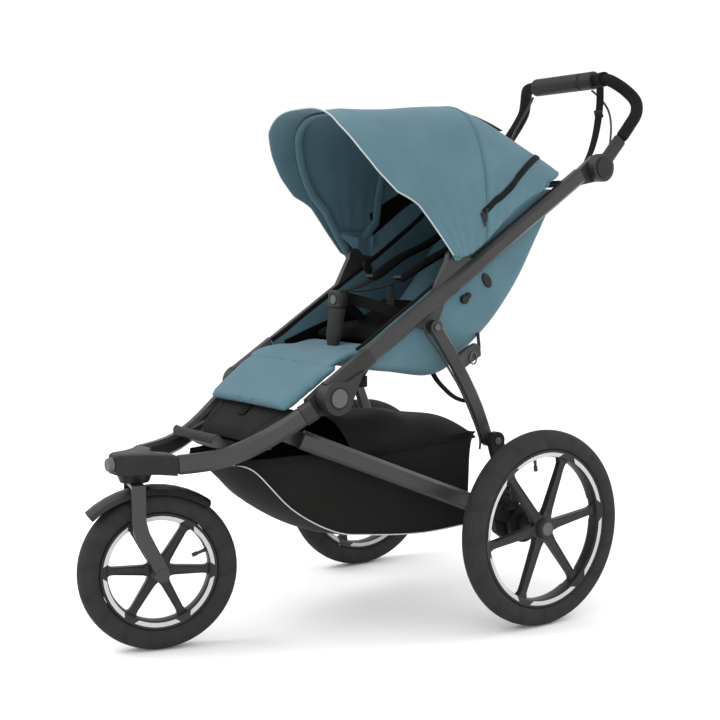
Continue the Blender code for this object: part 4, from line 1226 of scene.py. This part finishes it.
@dataclass
class Seat:
    """The hanging tub, its cushions and the harness.

    Attributes:
        profile: the tub's middle line from the front edge up the back, as (y, z).
        calf: the calf panel's (y), (z) and (half width) from the footrest up.
        rim: the top of its side walls at the same places, as (y, z).
        half: half the tub's width.
    """

    profile: tuple[tuple[float, float], ...] = (
        (-0.345, 0.556),
        (-0.310, 0.537),
        (-0.235, 0.526),
        (-0.160, 0.515),
        (-0.110, 0.527),
        (-0.060, 0.566),
        (0.010, 0.625),
        (0.080, 0.708),
        (0.135, 0.800),
        (0.190, 0.903),
    )
    rim: tuple[tuple[float, float], ...] = (
        (-0.352, 0.575),
        (-0.322, 0.592),
        (-0.262, 0.632),
        (-0.205, 0.668),
        (-0.160, 0.698),
        (-0.112, 0.728),
        (-0.062, 0.760),
        (-0.010, 0.796),
        (0.052, 0.840),
        (0.125, 0.903),
    )
    half: float = 0.158
    calf: tuple[tuple[float, ...], ...] = (
        (-0.5620, -0.5520, -0.5160, -0.4840),
        (0.4030, 0.4200, 0.4435, 0.4640),
        (0.0990, 0.1050, 0.1240, 0.1370),
    )

    def line(self, points: tuple[tuple[float, float], ...], t: float) -> Vector:
        """A smooth line through (y, z) points, at a share from 0 to 1."""
        rows = [Vector((0, y, z)) for y, z in points]
        return between(rows, t * (len(rows) - 1))

    def point(self, s: float, t: float, inside: float = 0.0) -> Vector:
        """A place on the tub.

        Args:
            s: from -1 at the right rim, under the child, to 1 at the left rim.
            t: from the front edge (0) to the top of the back (1).
            inside: how far within the outer skin.
        Returns:
            The place.
        """
        low, high = self.line(self.profile, t), self.line(self.rim, t)
        turn = abs(s)
        wide = math.sin(min(turn / 0.55, 1.0) * math.pi / 2) ** 0.8
        rise = max(0.0, (turn - 0.30) / 0.70) ** 1.7
        up = (high - low).normalized()
        puff = 0.0025 * math.sin(11 * t + 3 * turn) * math.sin(math.pi * min(1.0, turn * 1.2))
        x = (self.half + 0.0032 - inside) * wide + puff * wide * 0.6
        crease = 0.0065 * math.exp(-(((turn - 0.50) / 0.045) ** 2)) * min(1.0, max(0.0, (t - 0.30) / 0.2)) * math.sin(math.pi * min(1.0, t))
        spot = low.lerp(high, rise) + up * (inside * (1 - rise) + crease)
        return at(math.copysign(x, s) if turn > 1e-9 else 0.0, spot.y, spot.z)

    def sling(self) -> None:
        """The tub's cloth, its binding, and the black mesh inside its front."""
        mesh = surface(44, 60, lambda u, v: self.point(2 * u - 1, v), (0.75, 0.72))
        made = piece("seat_tub_cloth", mesh, TEAL, "teal_fabric", smooth=75)
        modify(made, "SOLIDIFY", thickness=0.0035, offset=-1.0)
        applied(made)
        worn(made, "upper_frame", "seat_sling")
        for side, sign in SIDES.items():
            path = [self.point(sign * 1.0, t, 0.0) + Vector((0, 0, 0.001)) for t in np.linspace(0, 1, 40)]
            tape = piece(f"seat_binding_{side}", swept(path, box_section(0.006, 0.010, 0.002)), WEBBING, "webbing")
            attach(tape, "upper_frame")
            inner = surface(
                10, 24, lambda u, v, sign=sign: self.point(
                    sign * (0.46 + 0.40 * u),
                    0.10 + 0.36 * v,
                    0.0085,
                ), (0.2, 0.3)
            )
            thicken(inner, 0.002)
            lining = piece(f"seat_side_mesh_{side}", inner, BLACK_PAD, "black_fabric", smooth=60)
            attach(lining, "upper_frame")

    def cushion(
        self,
        name: str,
        rows: Sequence[tuple[float, float, float]],
        depth: float,
        finish: Finish,
        node: str | None,
        cap: float,
        lift: float = 0.0,
    ) -> bpy.types.Object:
        """A padded cushion over a line of (y, z, half width).

        Args:
            name: the piece's name.
            rows: its middle line.
            depth: its thickness before it is blown up.
            finish: its material.
            node: the CAD node it stands for.
            cap: how far a point may move.
            lift: how far it stands above the line.
        Returns:
            The piece.
        """
        line = smooth_path([Vector((half, y, z)) for y, z, half in rows], 6)

        def place(across: float, along: float) -> Vector:
            """The place on the sheet at (across, along)."""
            spot = along * (len(line) - 1)
            k = min(int(spot), len(line) - 2)
            row = line[k].lerp(line[k + 1], spot - k)
            pull = 1 - 0.02 * math.sin(math.pi * along)
            round_end = 1 - 0.05 * (abs(2 * along - 1) ** 8)
            return at((2 * across - 1) * row.x * pull * round_end, row.y, row.z + lift)

        mesh = surface(24, 20, place, (0.3, 0.3))
        shape = piece(name, mesh, finish, "teal_fabric" if finish is TEAL_PAD else "black_fabric", smooth=80)
        modify(shape, "SOLIDIFY", thickness=depth, offset=0.0)
        applied(shape)
        inflated(shape, 0.0055, cap)
        shape.data.materials.clear()
        shape.data.materials.append(material(finish))
        if node:
            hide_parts(node)
        return shape

    def cushions(self) -> None:
        """The leg rest, the knee roll, the seat pad and the backrest, with their sewn channels."""
        leg = self.cushion(
            "leg_rest_cushion",
            ((-0.5165, 0.4630, 0.151), (-0.470, 0.4960, 0.160), (-0.430, 0.5245, 0.166), (-0.3930, 0.5470, 0.166)),
            0.010,
            TEAL_PAD,
            "leg_rest",
            0.006,
        )
        sewn(
            leg,
            [
                (at(x, -0.524, 0.4660), at(x, -0.395, 0.5530), 0.0034, 0.0050)
                for x in (-0.026, 0.026)
            ],
        )
        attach(leg, "front_frame")
        knee = self.cushion(
            "knee_cushion",
            (
                (-0.4160, 0.5390, 0.160), (-0.392, 0.5520, 0.161), (-0.355, 0.5600, 0.154),
                (-0.320, 0.5610, 0.152), (-0.285, 0.5660, 0.148), (-0.250, 0.5720, 0.144),
            ),
            0.009,
            TEAL_PAD,
            None,
            0.005,
        )
        sewn(knee, [(at(x, -0.41, 0.548), at(x, -0.345, 0.568), 0.0034, 0.0042) for x in (-0.026, 0.026)])
        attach(knee, "upper_frame")
        pad = self.cushion(
            "seat_cushion",
            (
                (-0.268, 0.5880, 0.118), (-0.245, 0.5960, 0.130), (-0.200, 0.6000, 0.134),
                (-0.155, 0.6050, 0.134), (-0.110, 0.6300, 0.132), (-0.088, 0.6650, 0.124),
            ),
            0.012,
            BLACK_PAD,
            "seat_pad",
            0.007,
        )
        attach(pad, "upper_frame")
        rest = self.cushion(
            "backrest_cushion",
            (
                (-0.0970, 0.5950, 0.126), (-0.0570, 0.6300, 0.132), (0.0060, 0.6910, 0.134),
                (0.0680, 0.7700, 0.134), (0.1100, 0.8480, 0.130),
            ),
            0.010,
            TEAL_PAD,
            "backrest",
            0.006,
        )
        sewn(
            rest,
            [(at(x, -0.095, 0.605), at(x, 0.105, 0.860), 0.0035, 0.0035) for x in (-0.075, 0.075)]
            + [(at(-0.13, 0.000, 0.700), at(0.13, 0.000, 0.700), 0.003, 0.003)],
        )
        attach(rest, "backrest")

    def calf_cloth(self) -> None:
        """The tough black panel under the leg rest, with its stitched border and pull tab."""

        def place(across: float, along: float) -> Vector:
            """The place on the sheet at (across, along)."""
            y, z, half = (np.interp(along, (0.0, 0.18, 0.60, 1.0), row) for row in self.calf)
            return at((2 * across - 1) * half, y, z + 0.0015 * math.sin(math.pi * across))

        mesh = surface(20, 14, place, (0.24, 0.10))
        thicken(mesh, 0.003)
        made = piece("calf_panel_cloth", mesh, BLACK_CLOTH, "black_fabric", smooth=60)
        worn(made, "front_frame", "calf_panel")
        border = [place(u, v) + Vector((0, -0.0012, 0.0024)) for u, v in ((0.08, 0.20), (0.08, 0.84), (0.92, 0.84), (0.92, 0.20))]
        line = []
        for a, b in zip(border, border[1:]):
            line += [a.lerp(b, k / 12) for k in range(12)]
        stitch = piece(
            "calf_panel_stitching",
            swept([*line, border[-1]], round_section(0.0008, 6)),
            SOFT_GREY,
            "black_fabric",
        )
        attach(stitch, "front_frame")
        tab = [at(-0.010, -0.500, 0.4590), at(-0.006, -0.512, 0.4520), at(-0.004, -0.524, 0.4435)]
        pull = piece(
            "calf_panel_tab",
            swept(smooth_path(tab, 4), box_section(0.020, 0.002, 0.0006)),
            WEBBING,
            "webbing",
        )
        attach(pull, "front_frame")

    def harness(self) -> None:
        """Shoulder belts, pads and adjusters, the crotch pad, the lap belt and a hanging tab."""
        for side, sign in SIDES.items():
            node = f"shoulder_strap_{side}"
            route = [
                (0.048, 0.0480, 0.8150), (0.055, -0.0120, 0.7810), (0.058, -0.0800, 0.7530),
                (0.050, -0.1560, 0.7110),
            ]
            path = smooth_path(mirrored([at(*p) for p in route], sign), 7)
            section = [
                (0.0200, 0.0015), (0.0170, 0.0045), (0.0, 0.0058), (-0.0170, 0.0045), (-0.0200, 0.0015),
                (-0.0170, -0.0040), (0.0170, -0.0040),
            ]
            pad = piece(
                f"shoulder_pad_{side}",
                swept(path, section, scale=lambda t: 0.80 + 0.20 * math.sin(math.pi * min(max(t, 0.0), 1.0)) ** 0.4),
                BLACK_PAD,
                "webbing",
                smooth=50,
            )
            worn(pad, "backrest", node)
            belt = smooth_path(
                mirrored(
                    [
                        at(0.050, -0.152, 0.7120), at(0.044, -0.186, 0.6990), at(0.030, -0.235, 0.6880),
                        at(0.014, -0.280, 0.6840),
                    ],
                    sign,
                ),
                6,
            )
            strap = piece(f"shoulder_belt_{side}", swept(belt, box_section(0.020, 0.0022, 0.0006)), WEBBING, "webbing")
            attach(strap, "upper_frame")
            clip = rounded_block(Vector((-0.013, -0.009, -0.004)), Vector((0.013, 0.009, 0.004)), 0.002, 2)
            clip = moved(
                clip,
                Matrix.Translation(path[-1] + Vector((0, -0.006, 0.001))) @ Matrix.Rotation(-0.5, 4, "X"),
            )
            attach(piece(f"shoulder_adjuster_{side}", clip, NYLON, "moulded_black"), "backrest")
        route = [at(0, -0.3010, 0.5640), at(0, -0.2975, 0.5900), at(0, -0.2930, 0.6200), at(0, -0.2870, 0.6500)]
        crotch = swept(
            smooth_path(route, 7),
            [
                (0.0225, 0.003), (0.019, 0.0075), (0.0, 0.0088), (-0.019, 0.0075), (-0.0225, 0.003),
                (-0.0225, -0.003), (-0.019, -0.007), (0.019, -0.007), (0.0225, -0.003),
            ],
            up=Vector((0, -1, 0)),
            scale=lambda t: 0.52 + 0.48 * min(1.0, t * 2.6) ** 0.7,
        )
        made = piece("crotch_pad", crotch, SOFT_GREY, "webbing", smooth=50)
        worn(made, "upper_frame", "crotch_strap")
        lap = [(-0.132, -0.118, 0.600), (-0.100, -0.160, 0.625), (-0.055, -0.225, 0.655), (0, -0.2625, 0.670)]
        whole = [at(*p) for p in lap] + [at(-x, y, z) for x, y, z in reversed(lap[:-1])]
        belt = piece(
            "lap_belt_webbing",
            swept(smooth_path(whole, 6), box_section(0.0030, 0.024, 0.0008)),
            WEBBING,
            "webbing",
        )
        worn(belt, "upper_frame", "lap_belt")
        tab = [
            at(0.036, -0.176, 0.7000), at(0.039, -0.178, 0.6850), at(0.040, -0.179, 0.6600),
            at(0.040, -0.180, 0.6380),
        ]
        hang = piece(
            "harness_tab",
            swept(smooth_path(tab, 4), box_section(0.0245, 0.0018, 0.0005), up=Vector((0, -1, 0))),
            SOFT_GREY,
            "webbing",
        )
        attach(hang, "upper_frame")

    def fittings(self) -> None:
        """The small hard and webbing parts that hold the tub to the frame."""
        for side, sign in SIDES.items():
            for name, spot, radius, depth in (
                ("seat_button", at(0.1660, -0.0190, 0.7080), 0.0140, 0.006),
                ("seat_knob", at(0.1690, -0.0822, 0.6700), 0.0095, 0.010),
                ("seat_knob_small", at(0.1680, -0.0720, 0.6780), 0.0060, 0.012),
                ("belt_anchor", at(0.1480, -0.1046, 0.7318), 0.0140, 0.006),
            ):
                made = drum(Vector((spot.x * sign, spot.y, spot.z)), radius, depth, 0.0015, 28)
                if name in ("seat_button", "belt_anchor"):
                    middle = Vector((spot.x * sign, spot.y, spot.z))
                    lean = Matrix.Rotation(0.6, 4, "X") @ Matrix.Diagonal((1, 0.72, 1.25, 1))
                    made = moved(made, Matrix.Translation(middle) @ lean @ Matrix.Translation(-middle))
                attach(piece(f"{name}_{side}", made, NYLON, "moulded_black"), "upper_frame")
            tab = rounded_block(
                Vector((0.1660, -0.3550 + AXLE_Y, 0.5030)),
                Vector((0.1760, -0.3360 + AXLE_Y, 0.5260)),
                0.002,
                2,
            )
            if sign < 0:
                tab = moved(tab, Matrix.Scale(-1, 4, (1, 0, 0)))
            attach(piece(f"frame_strap_end_{side}", tab, WEBBING, "webbing"), "upper_frame")
            sling = [
                (0.112, -0.1240, 0.5180), (0.126, -0.1220, 0.5010), (0.146, -0.1190, 0.4850),
                (0.170, -0.1130, 0.4690), (0.190, -0.1020, 0.4610), (0.2030, -0.0900, 0.4640),
            ]
            route = smooth_path(mirrored([at(*p) for p in sling], sign), 6)
            strap = piece(
                f"strut_strap_{side}",
                swept(route, box_section(0.0130, 0.0020, 0.0006), up=Vector((0.6 * sign, -0.1, 0.8))),
                WEBBING,
                "webbing",
            )
            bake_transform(strap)
            hang = [
                (0.1990, -0.0740, 0.5580), (0.1900, -0.0600, 0.5720), (0.1660, -0.0420, 0.5900),
                (0.1500, -0.0300, 0.6060),
            ]
            route = smooth_path(mirrored([at(*p) for p in hang], sign), 6)
            strap = piece(
                f"bracket_strap_{side}",
                swept(route, box_section(0.0120, 0.0020, 0.0006), up=Vector((0.7 * sign, 0.3, 0.3))),
                WEBBING,
                "webbing",
            )
            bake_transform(strap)
            loop = [Vector((0.0, 0.0085 * math.cos(a), 0.0125 * math.sin(a))) for a in np.linspace(0, math.tau, 25)]
            loop = [at(0.2062 * sign, -0.0880, 0.5500) + p for p in loop]
            ring = piece(
                f"bracket_ring_{side}",
                swept(loop, round_section(0.0016, 8), up=Vector((1, 0.01, 0))),
                GREY_NYLON,
                "grey_plastic",
            )
            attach(ring, "strut")

    def build(self) -> None:
        """Makes the seat."""
        self.fittings()
        self.sling()
        self.cushions()
        self.calf_cloth()
        self.harness()
        LOG.info("seat")


# ------------------------------------------------------------------ basket


@dataclass
class Basket:
    """The storage bag under the seat.

    Attributes:
        stations: (y, half width, top of the side, its lower seam, middle of the bottom).
        cover: (y, half width, height of its edges, height of its middle).
        rear: where its rear wall ends.
    """

    stations: tuple[tuple[float, float, float, float, float], ...] = (
        (-0.597, 0.084, 0.3640, 0.3600, 0.352),
        (-0.557, 0.106, 0.3630, 0.3450, 0.308),
        (-0.479, 0.122, 0.3660, 0.2630, 0.245),
        (-0.390, 0.136, 0.3680, 0.2110, 0.196),
        (-0.319, 0.155, 0.3690, 0.1990, 0.186),
        (-0.200, 0.178, 0.3800, 0.1920, 0.180),
        (-0.085, 0.190, 0.3920, 0.1990, 0.188),
    )
    cover: tuple[tuple[float, float, float, float], ...] = (
        (-0.350, 0.1470, 0.3640, 0.430),
        (-0.200, 0.1770, 0.3730, 0.430),
        (-0.066, 0.1890, 0.3840, 0.412),
    )
    rear: float = -0.066

    def row(self, t: float) -> np.ndarray:
        """The station's five numbers at a share from 0 to 1."""
        return between(np.array(self.stations), t * (len(self.stations) - 1))

    def point(self, s: float, t: float) -> Vector:
        """A place on the bag: s goes from the right top (-1) under it to the left top (1)."""
        y, half, top, seam, bottom = self.row(t)
        turn = abs(s)
        if turn >= 0.5:
            share = (turn - 0.5) / 0.5
            z = seam + (top - seam) * share
            x = half * (0.985 + 0.015 * share) - 0.004 * math.sin(math.pi * share) * math.sin(6 * t) ** 2
        else:
            share = turn / 0.5
            z = bottom + (seam - bottom) * share**2.2
            x = half * 0.985 * share
        wave = 0.0022 * math.sin(17 * t + 4 * s) * math.sin(math.pi * min(1, 2 * min(turn, 1 - turn) + 0.2))
        return at(math.copysign(x + wave, s) if turn > 1e-9 else 0.0, y, z)

    def build(self) -> None:
        """Makes the bag, its rear wall, cover, piping and tapes."""
        shell = surface(48, 64, lambda u, v: self.point(2 * u - 1, v), (0.75, 0.6))

        def wall(across: float, along: float) -> Vector:
            """The place on the rear wall at (across, along)."""
            start = self.point(2 * across - 1, 1.0)
            _, half, top, _, _ = self.row(1.0)
            end = at(half * (2 * across - 1), self.rear, top)
            out = start.lerp(end, along)
            out.y += 0.004 * math.sin(math.pi * along)
            return out

        back = surface(48, 12, wall, (0.4, 0.2))
        mesh = joined([shell, back])
        bmesh.ops.remove_doubles(mesh, verts=mesh.verts, dist=0.0008)
        made = piece("basket_cloth", mesh, BLACK_CLOTH, "black_fabric", smooth=70)
        modify(made, "SOLIDIFY", thickness=0.003, offset=1.0)
        applied(made)
        worn(made, "rear_frame", "basket")

        def lid(across: float, along: float) -> Vector:
            """The place on the cover at (across, along)."""
            rows = np.array(self.cover)
            spot = along * 2
            k = min(int(spot), 1)
            y, half, edge, middle = rows[k] + (rows[k + 1] - rows[k]) * (spot - k)
            x = 2 * across - 1
            z = edge + (middle - edge) * (1 - abs(x) ** 3.2) + 0.0025 * math.sin(13 * along + 5 * x)
            return at(x * half, y, z)

        top = surface(30, 24, lid, (0.38, 0.3))
        thicken(top, 0.0025)
        cover = piece("basket_cover_cloth", top, BLACK_CLOTH, "black_fabric", smooth=60)
        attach(cover, "rear_frame")
        for side, sign in SIDES.items():
            path = [self.point(0.5 * sign, t) + Vector((0.0030 * sign, 0, 0)) for t in np.linspace(0.0, 1.0, 60)]
            line = piece(f"basket_piping_{side}", swept(path, round_section(0.0013, 8)), PIPING, "black_fabric")
            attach(line, "rear_frame")
            hem = [self.point(0.995 * sign, t) + Vector((0.0032 * sign, 0, 0)) for t in np.linspace(0.04, 1.0, 50)]
            tape = piece(f"basket_hem_{side}", swept(hem, box_section(0.003, 0.012, 0.001)), WEBBING, "webbing")
            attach(tape, "rear_frame")
        LOG.info("basket")


# ------------------------------------------------------------------ handlebar


@dataclass
class Handlebar:
    """The foam loop, the tether and the cables.

    Attributes:
        loop: the middle line of the left foam, from its lower end to the console.
        cable: the left cable's middle line, from the console to the hub.
    """

    loop: tuple[Point, ...] = (
        (0.1965, 0.345, 1.0195),
        (0.1975, 0.370, 1.0490),
        (0.1970, 0.391, 1.0760),
        (0.1860, 0.4000, 1.1040),
        (0.1660, 0.388, 1.1300),
        (0.1400, 0.3680, 1.1520),
        (0.1210, 0.3602, 1.1566),
        (0.1035, 0.3590, 1.1570),
    )
    cable: tuple[Point, ...] = (
        (0.098, 0.3500, 1.1330),
        (0.118, 0.3560, 1.1150),
        (0.145, 0.3560, 1.0850),
        (0.163, 0.3470, 1.0500),
        (0.1725, 0.3350, 1.0100),
        (0.1735, 0.3270, 0.9800),
        (0.1735, 0.3205, 0.9600),
    )

    def build(self) -> None:
        """Makes the handlebar's soft and thin pieces."""
        for side, sign in SIDES.items():
            path = smooth_path(mirrored([at(*p) for p in self.loop], sign), 7)
            grip = piece(
                f"handle_foam_{side}",
                swept(path, round_section(0.0136, 20), scale=lambda t: 1 - 0.10 * max(0.0, 1 - t / 0.03) ** 2),
                FOAM,
                "foam",
                smooth=60,
            )
            worn(grip, "handlebar", f"handle_grip_{side}")
            route = smooth_path(mirrored([at(*p) for p in self.cable], sign), 4)
            data = bpy.data.curves.new(f"brake_cable_{side}", "CURVE")
            data.dimensions = "3D"
            data.bevel_depth = CABLE_ACROSS / 2
            data.bevel_resolution = 3
            data.use_fill_caps = True
            spline = data.splines.new("POLY")
            spline.points.add(len(route) - 1)
            for knot, point in zip(spline.points, route):
                knot.co = (*point, 1)
            data.materials.append(material(CABLE))
            cable = bpy.data.objects.new(f"brake_cable_{side}", data)
            bpy.context.scene.collection.objects.link(cable)
            worn(cable, "handlebar", f"handle_cable_{side}")
            length = sum((b - a).length for a, b in zip(route, route[1:]))
            tuple(route[0])
        tether = [
            (0.126, 0.3480, 1.1380), (0.136, 0.3380, 1.1000), (0.146, 0.3200, 1.0450),
            (0.152, 0.3000, 0.9990), (0.1545, 0.2820, 0.9700),
        ]
        strap = piece(
            "wrist_tether",
            swept(smooth_path([at(*p) for p in tether], 6), box_section(0.0165, 0.0020, 0.0006)),
            WEBBING,
            "webbing",
        )
        worn(strap, "handlebar", "wrist_strap")
        ring = lathe([(-0.008, 0.0146), (-0.008, 0.0166), (0.008, 0.0166), (0.008, 0.0146)], 32)
        wrap = piece(
            "wrist_tether_wrap",
            moved(ring, Matrix.Translation(at(0.1210, 0.3602, 1.1566)) @ Matrix.Rotation(-0.2, 4, "Z")),
            WEBBING,
            "webbing",
        )
        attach(wrap, "handlebar")
        slider = rounded_block(Vector((-0.0115, -0.003, -0.009)), Vector((0.0115, 0.003, 0.009)), 0.002, 2)
        slider = moved(slider, Matrix.Translation(at(0.1405, 0.3300, 1.0760)) @ Matrix.Rotation(0.35, 4, "X"))
        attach(piece("wrist_tether_slider", slider, NYLON, "moulded_black"), "handlebar")
        LOG.info("handlebar")


# ------------------------------------------------------------------ frame


@dataclass
class FrameDressing:
    """The hard parts with rounded edges, and the small parts that sit on them.

    Attributes:
    """

    frame: dict

    def hard_parts(self) -> None:
        """Rounds and dresses every hard CAD node that keeps its shape."""
        owner = {node: body for body, nodes in self.frame["record"]["behaviour"]["bodies"].items() for node in nodes}
        slots = {entry["node"]: entry["material_slot"] for entry in self.frame["record"]["subparts"]}
        finishes = {"frame_paint": POWDER, "casting": CASTING, "moulded_black": NYLON, "grey_plastic": GREY_NYLON}
        edges = {
            "nose_casting": 0.003, "mudguard": 0.0006, "footrest": 0.0008, "fork": 0.0012,
            "release_button_left": 0.0006, "release_button_right": 0.0006,
        }
        for node, slot in slots.items():
            if slot in finishes and node != "footrest" and not node.startswith("canopy_"):
                refined(self.frame, node, finishes[slot], slot, owner[node], edges.get(node, 0.0014))

    def thin_parts(self) -> None:
        """Gives the strut cables and the springs their finishes."""
        for node, finish in (
            ("strut_cable_left", CABLE),
            ("strut_cable_right", CABLE),
            ("suspension_spring_left", SPRING),
            ("suspension_spring_right", SPRING),
        ):
            made = self.frame["nodes"][node]
            made.data.materials.clear()
            made.data.materials.append(material(finish))

    def tray(self) -> None:
        """The footrest: a shallow dished tray with a raised lip in front and turned-up sides."""
        profile = [
            (-0.6360, 0.4060), (-0.6345, 0.4150), (-0.6290, 0.4205), (-0.6230, 0.4165), (-0.6160, 0.4020),
            (-0.6040, 0.3890), (-0.5850, 0.3850), (-0.5650, 0.3885), (-0.5460, 0.3995),
        ]
        halves = (0.080, 0.082, 0.084, 0.086, 0.088, 0.090, 0.092, 0.094, 0.095)
        line = smooth_path([Vector((half, y, z)) for half, (y, z) in zip(halves, profile)], 4)

        def place(across: float, along: float) -> Vector:
            """The place on the sheet at (across, along)."""
            row = line[round(along * (len(line) - 1))]
            x = 2 * across - 1
            turned_up = 0.017 * abs(x) ** 3.5 * min(1.0, max(0.0, (row.y + 0.628) / 0.02))
            ridge = 0.0012 * math.sin(48 * x) ** 4 if abs(x) < 0.7 and row.y > -0.605 else 0.0
            return at(row.x * x, row.y, row.z + turned_up + ridge)

        mesh = surface(56, len(line) - 1, place, (0.2, 0.1))
        thicken(mesh, 0.003)
        made = piece("footrest_tray", mesh, NYLON, "moulded_black", smooth=50)
        modify(made, "BEVEL", width=0.0008, segments=2, limit_method="ANGLE", angle_limit=math.radians(50))
        worn(made, "front_frame", "footrest")
        for side, sign in SIDES.items():
            ends = mirrored([at(0.0745, -0.7180, 0.3698), at(0.0820, -0.6990, 0.3706)], sign)
            sleeve = swept(ends, box_section(0.0190, 0.0340, 0.004))
            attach(piece(f"front_joint_{side}", sleeve, NYLON, "moulded_black"), "front_frame")

    def badges(self) -> None:
        """A plain grey disc on each fold hinge and each handle hub, and the pivots' bolts. Round each hinge disc a
        wider flat black disc paints the shade of the groove.
        """
        for side, sign in SIDES.items():
            spots = [
                # Painted shade: a flat black disc, a little wider than the badge, stands in for the shade in the groove
                # round it.
                ("hinge_groove_shade_ring", at(0.1995, -0.420, 0.488), 0.0215, 0.0004, NYLON, "upper_frame"),
                ("hinge_badge", at(0.1995, -0.420, 0.488), 0.0185, 0.0022, GREY_NYLON, "upper_frame"),
                ("handle_hub_cap", at(0.2005, 0.289, 0.9525), 0.0225, 0.0024, NYLON, "handlebar"),
                ("strut_bolt", at(0.1900, -0.172, 0.616), 0.0070, 0.0040, GREY_NYLON, "strut"),
                ("leg_bolt", at(0.2475, -0.055, 0.379), 0.0075, 0.0030, GREY_NYLON, "rear_frame"),
            ]
            for name, spot, radius, depth, finish, body in spots:
                centre = Vector((spot.x * sign + sign * depth / 2, spot.y, spot.z))
                made = piece(f"{name}_{side}", drum(centre, radius, depth + 0.0006, 0.0008), finish, "grey_plastic")
                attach(made, body)

    def build(self) -> None:
        """Dresses the frame."""
        self.hard_parts()
        self.thin_parts()
        self.tray()
        self.badges()
        LOG.info("frame")


# ------------------------------------------------------------------ studio


def studio() -> None:
    """A pale floor, soft light and the camera."""
    scene = bpy.context.scene
    mesh = bmesh.new()
    bmesh.ops.create_grid(mesh, x_segments=1, y_segments=1, size=30)
    data = bpy.data.meshes.new("floor")
    mesh.to_mesh(data)
    mesh.free()
    data.materials.append(material(FLOOR))
    floor = bpy.data.objects.new("floor", data)
    scene.collection.objects.link(floor)
    world = bpy.data.worlds.new("studio")
    world.use_nodes = True
    world.node_tree.nodes["Background"].inputs["Color"].default_value = (1, 1, 1, 1)
    world.node_tree.nodes["Background"].inputs["Strength"].default_value = WORLD_STRENGTH
    scene.world = world
    for name, place, target, size, power in (
        ("key", (-1.2, -2.6, 3.4), (0, 0, 0.5), 2.4, 95),
        ("fill", (3.6, -1.2, 2.2), (0, 0, 0.6), 3.0, 42),
        ("rim", (1.2, 3.4, 2.6), (0, 0, 0.7), 2.5, 45),
    ):
        light = bpy.data.lights.new(name, "AREA")
        light.size = size
        light.energy = power
        made = bpy.data.objects.new(name, light)
        made.location = place
        made.rotation_euler = (Vector(target) - Vector(place)).to_track_quat("-Z", "Y").to_euler()
        scene.collection.objects.link(made)
    camera = bpy.data.cameras.new("camera")
    camera.lens = LENS_MM
    camera.sensor_width = 36
    camera.sensor_fit = "HORIZONTAL"
    made = bpy.data.objects.new("camera", camera)
    made.location = at(2.3136, -1.8693, 0.7990)
    aim = at(0, -0.230, 0.538) - made.location
    made.rotation_euler = aim.to_track_quat("-Z", "Y").to_euler()
    scene.collection.objects.link(made)
    scene.camera = made
    scene.view_settings.view_transform = "Standard"


def wheels(frame: dict) -> list[Wheel]:
    """The three wheels, with their places from the frame.

    Args:
    Returns:
        The wheels, not yet built.
    """
    joints = {joint["name"]: joint for joint in frame["joints"]}
    spin = joints["front_wheel_spin"]
    axis = Vector(spin["axis"])
    found = [
        Wheel(
            "front",
            Vector(spin["pos_m"]),
            math.atan2(axis.y, axis.x),
            0.156,
            0.050,
            0.1150,
            33,
            (-0.0405, 0.0405, 0.0175),
            "front_wheel",
            ("front_rim", "front_tyre"),
        )
    ]
    for side in SIDES:
        low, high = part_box(f"rear_tyre_{side}")
        found.append(
            Wheel(
                f"rear_{side}",
                (low + high) / 2,
                0.0,
                0.203,
                0.046,
                0.1640,
                22,
                (-0.0490, 0.0180, 0.0210),
                f"rear_wheel_{side}",
                (f"rear_rim_{side}", f"rear_tyre_{side}"),
            )
        )
    return found


def main() -> None:
    """Builds the stroller's looks in order."""
    logging.basicConfig(level=logging.INFO, format="%(name)s: %(message)s")
    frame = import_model()
    studio()
    Handlebar().build()
    FrameDressing(frame).build()
    for wheel in wheels(frame):
        wheel.build()
    Canopy().build()
    Seat().build()
    Basket().build()
    bpy.context.view_layer.update()


if __name__ == "__main__":
    main()
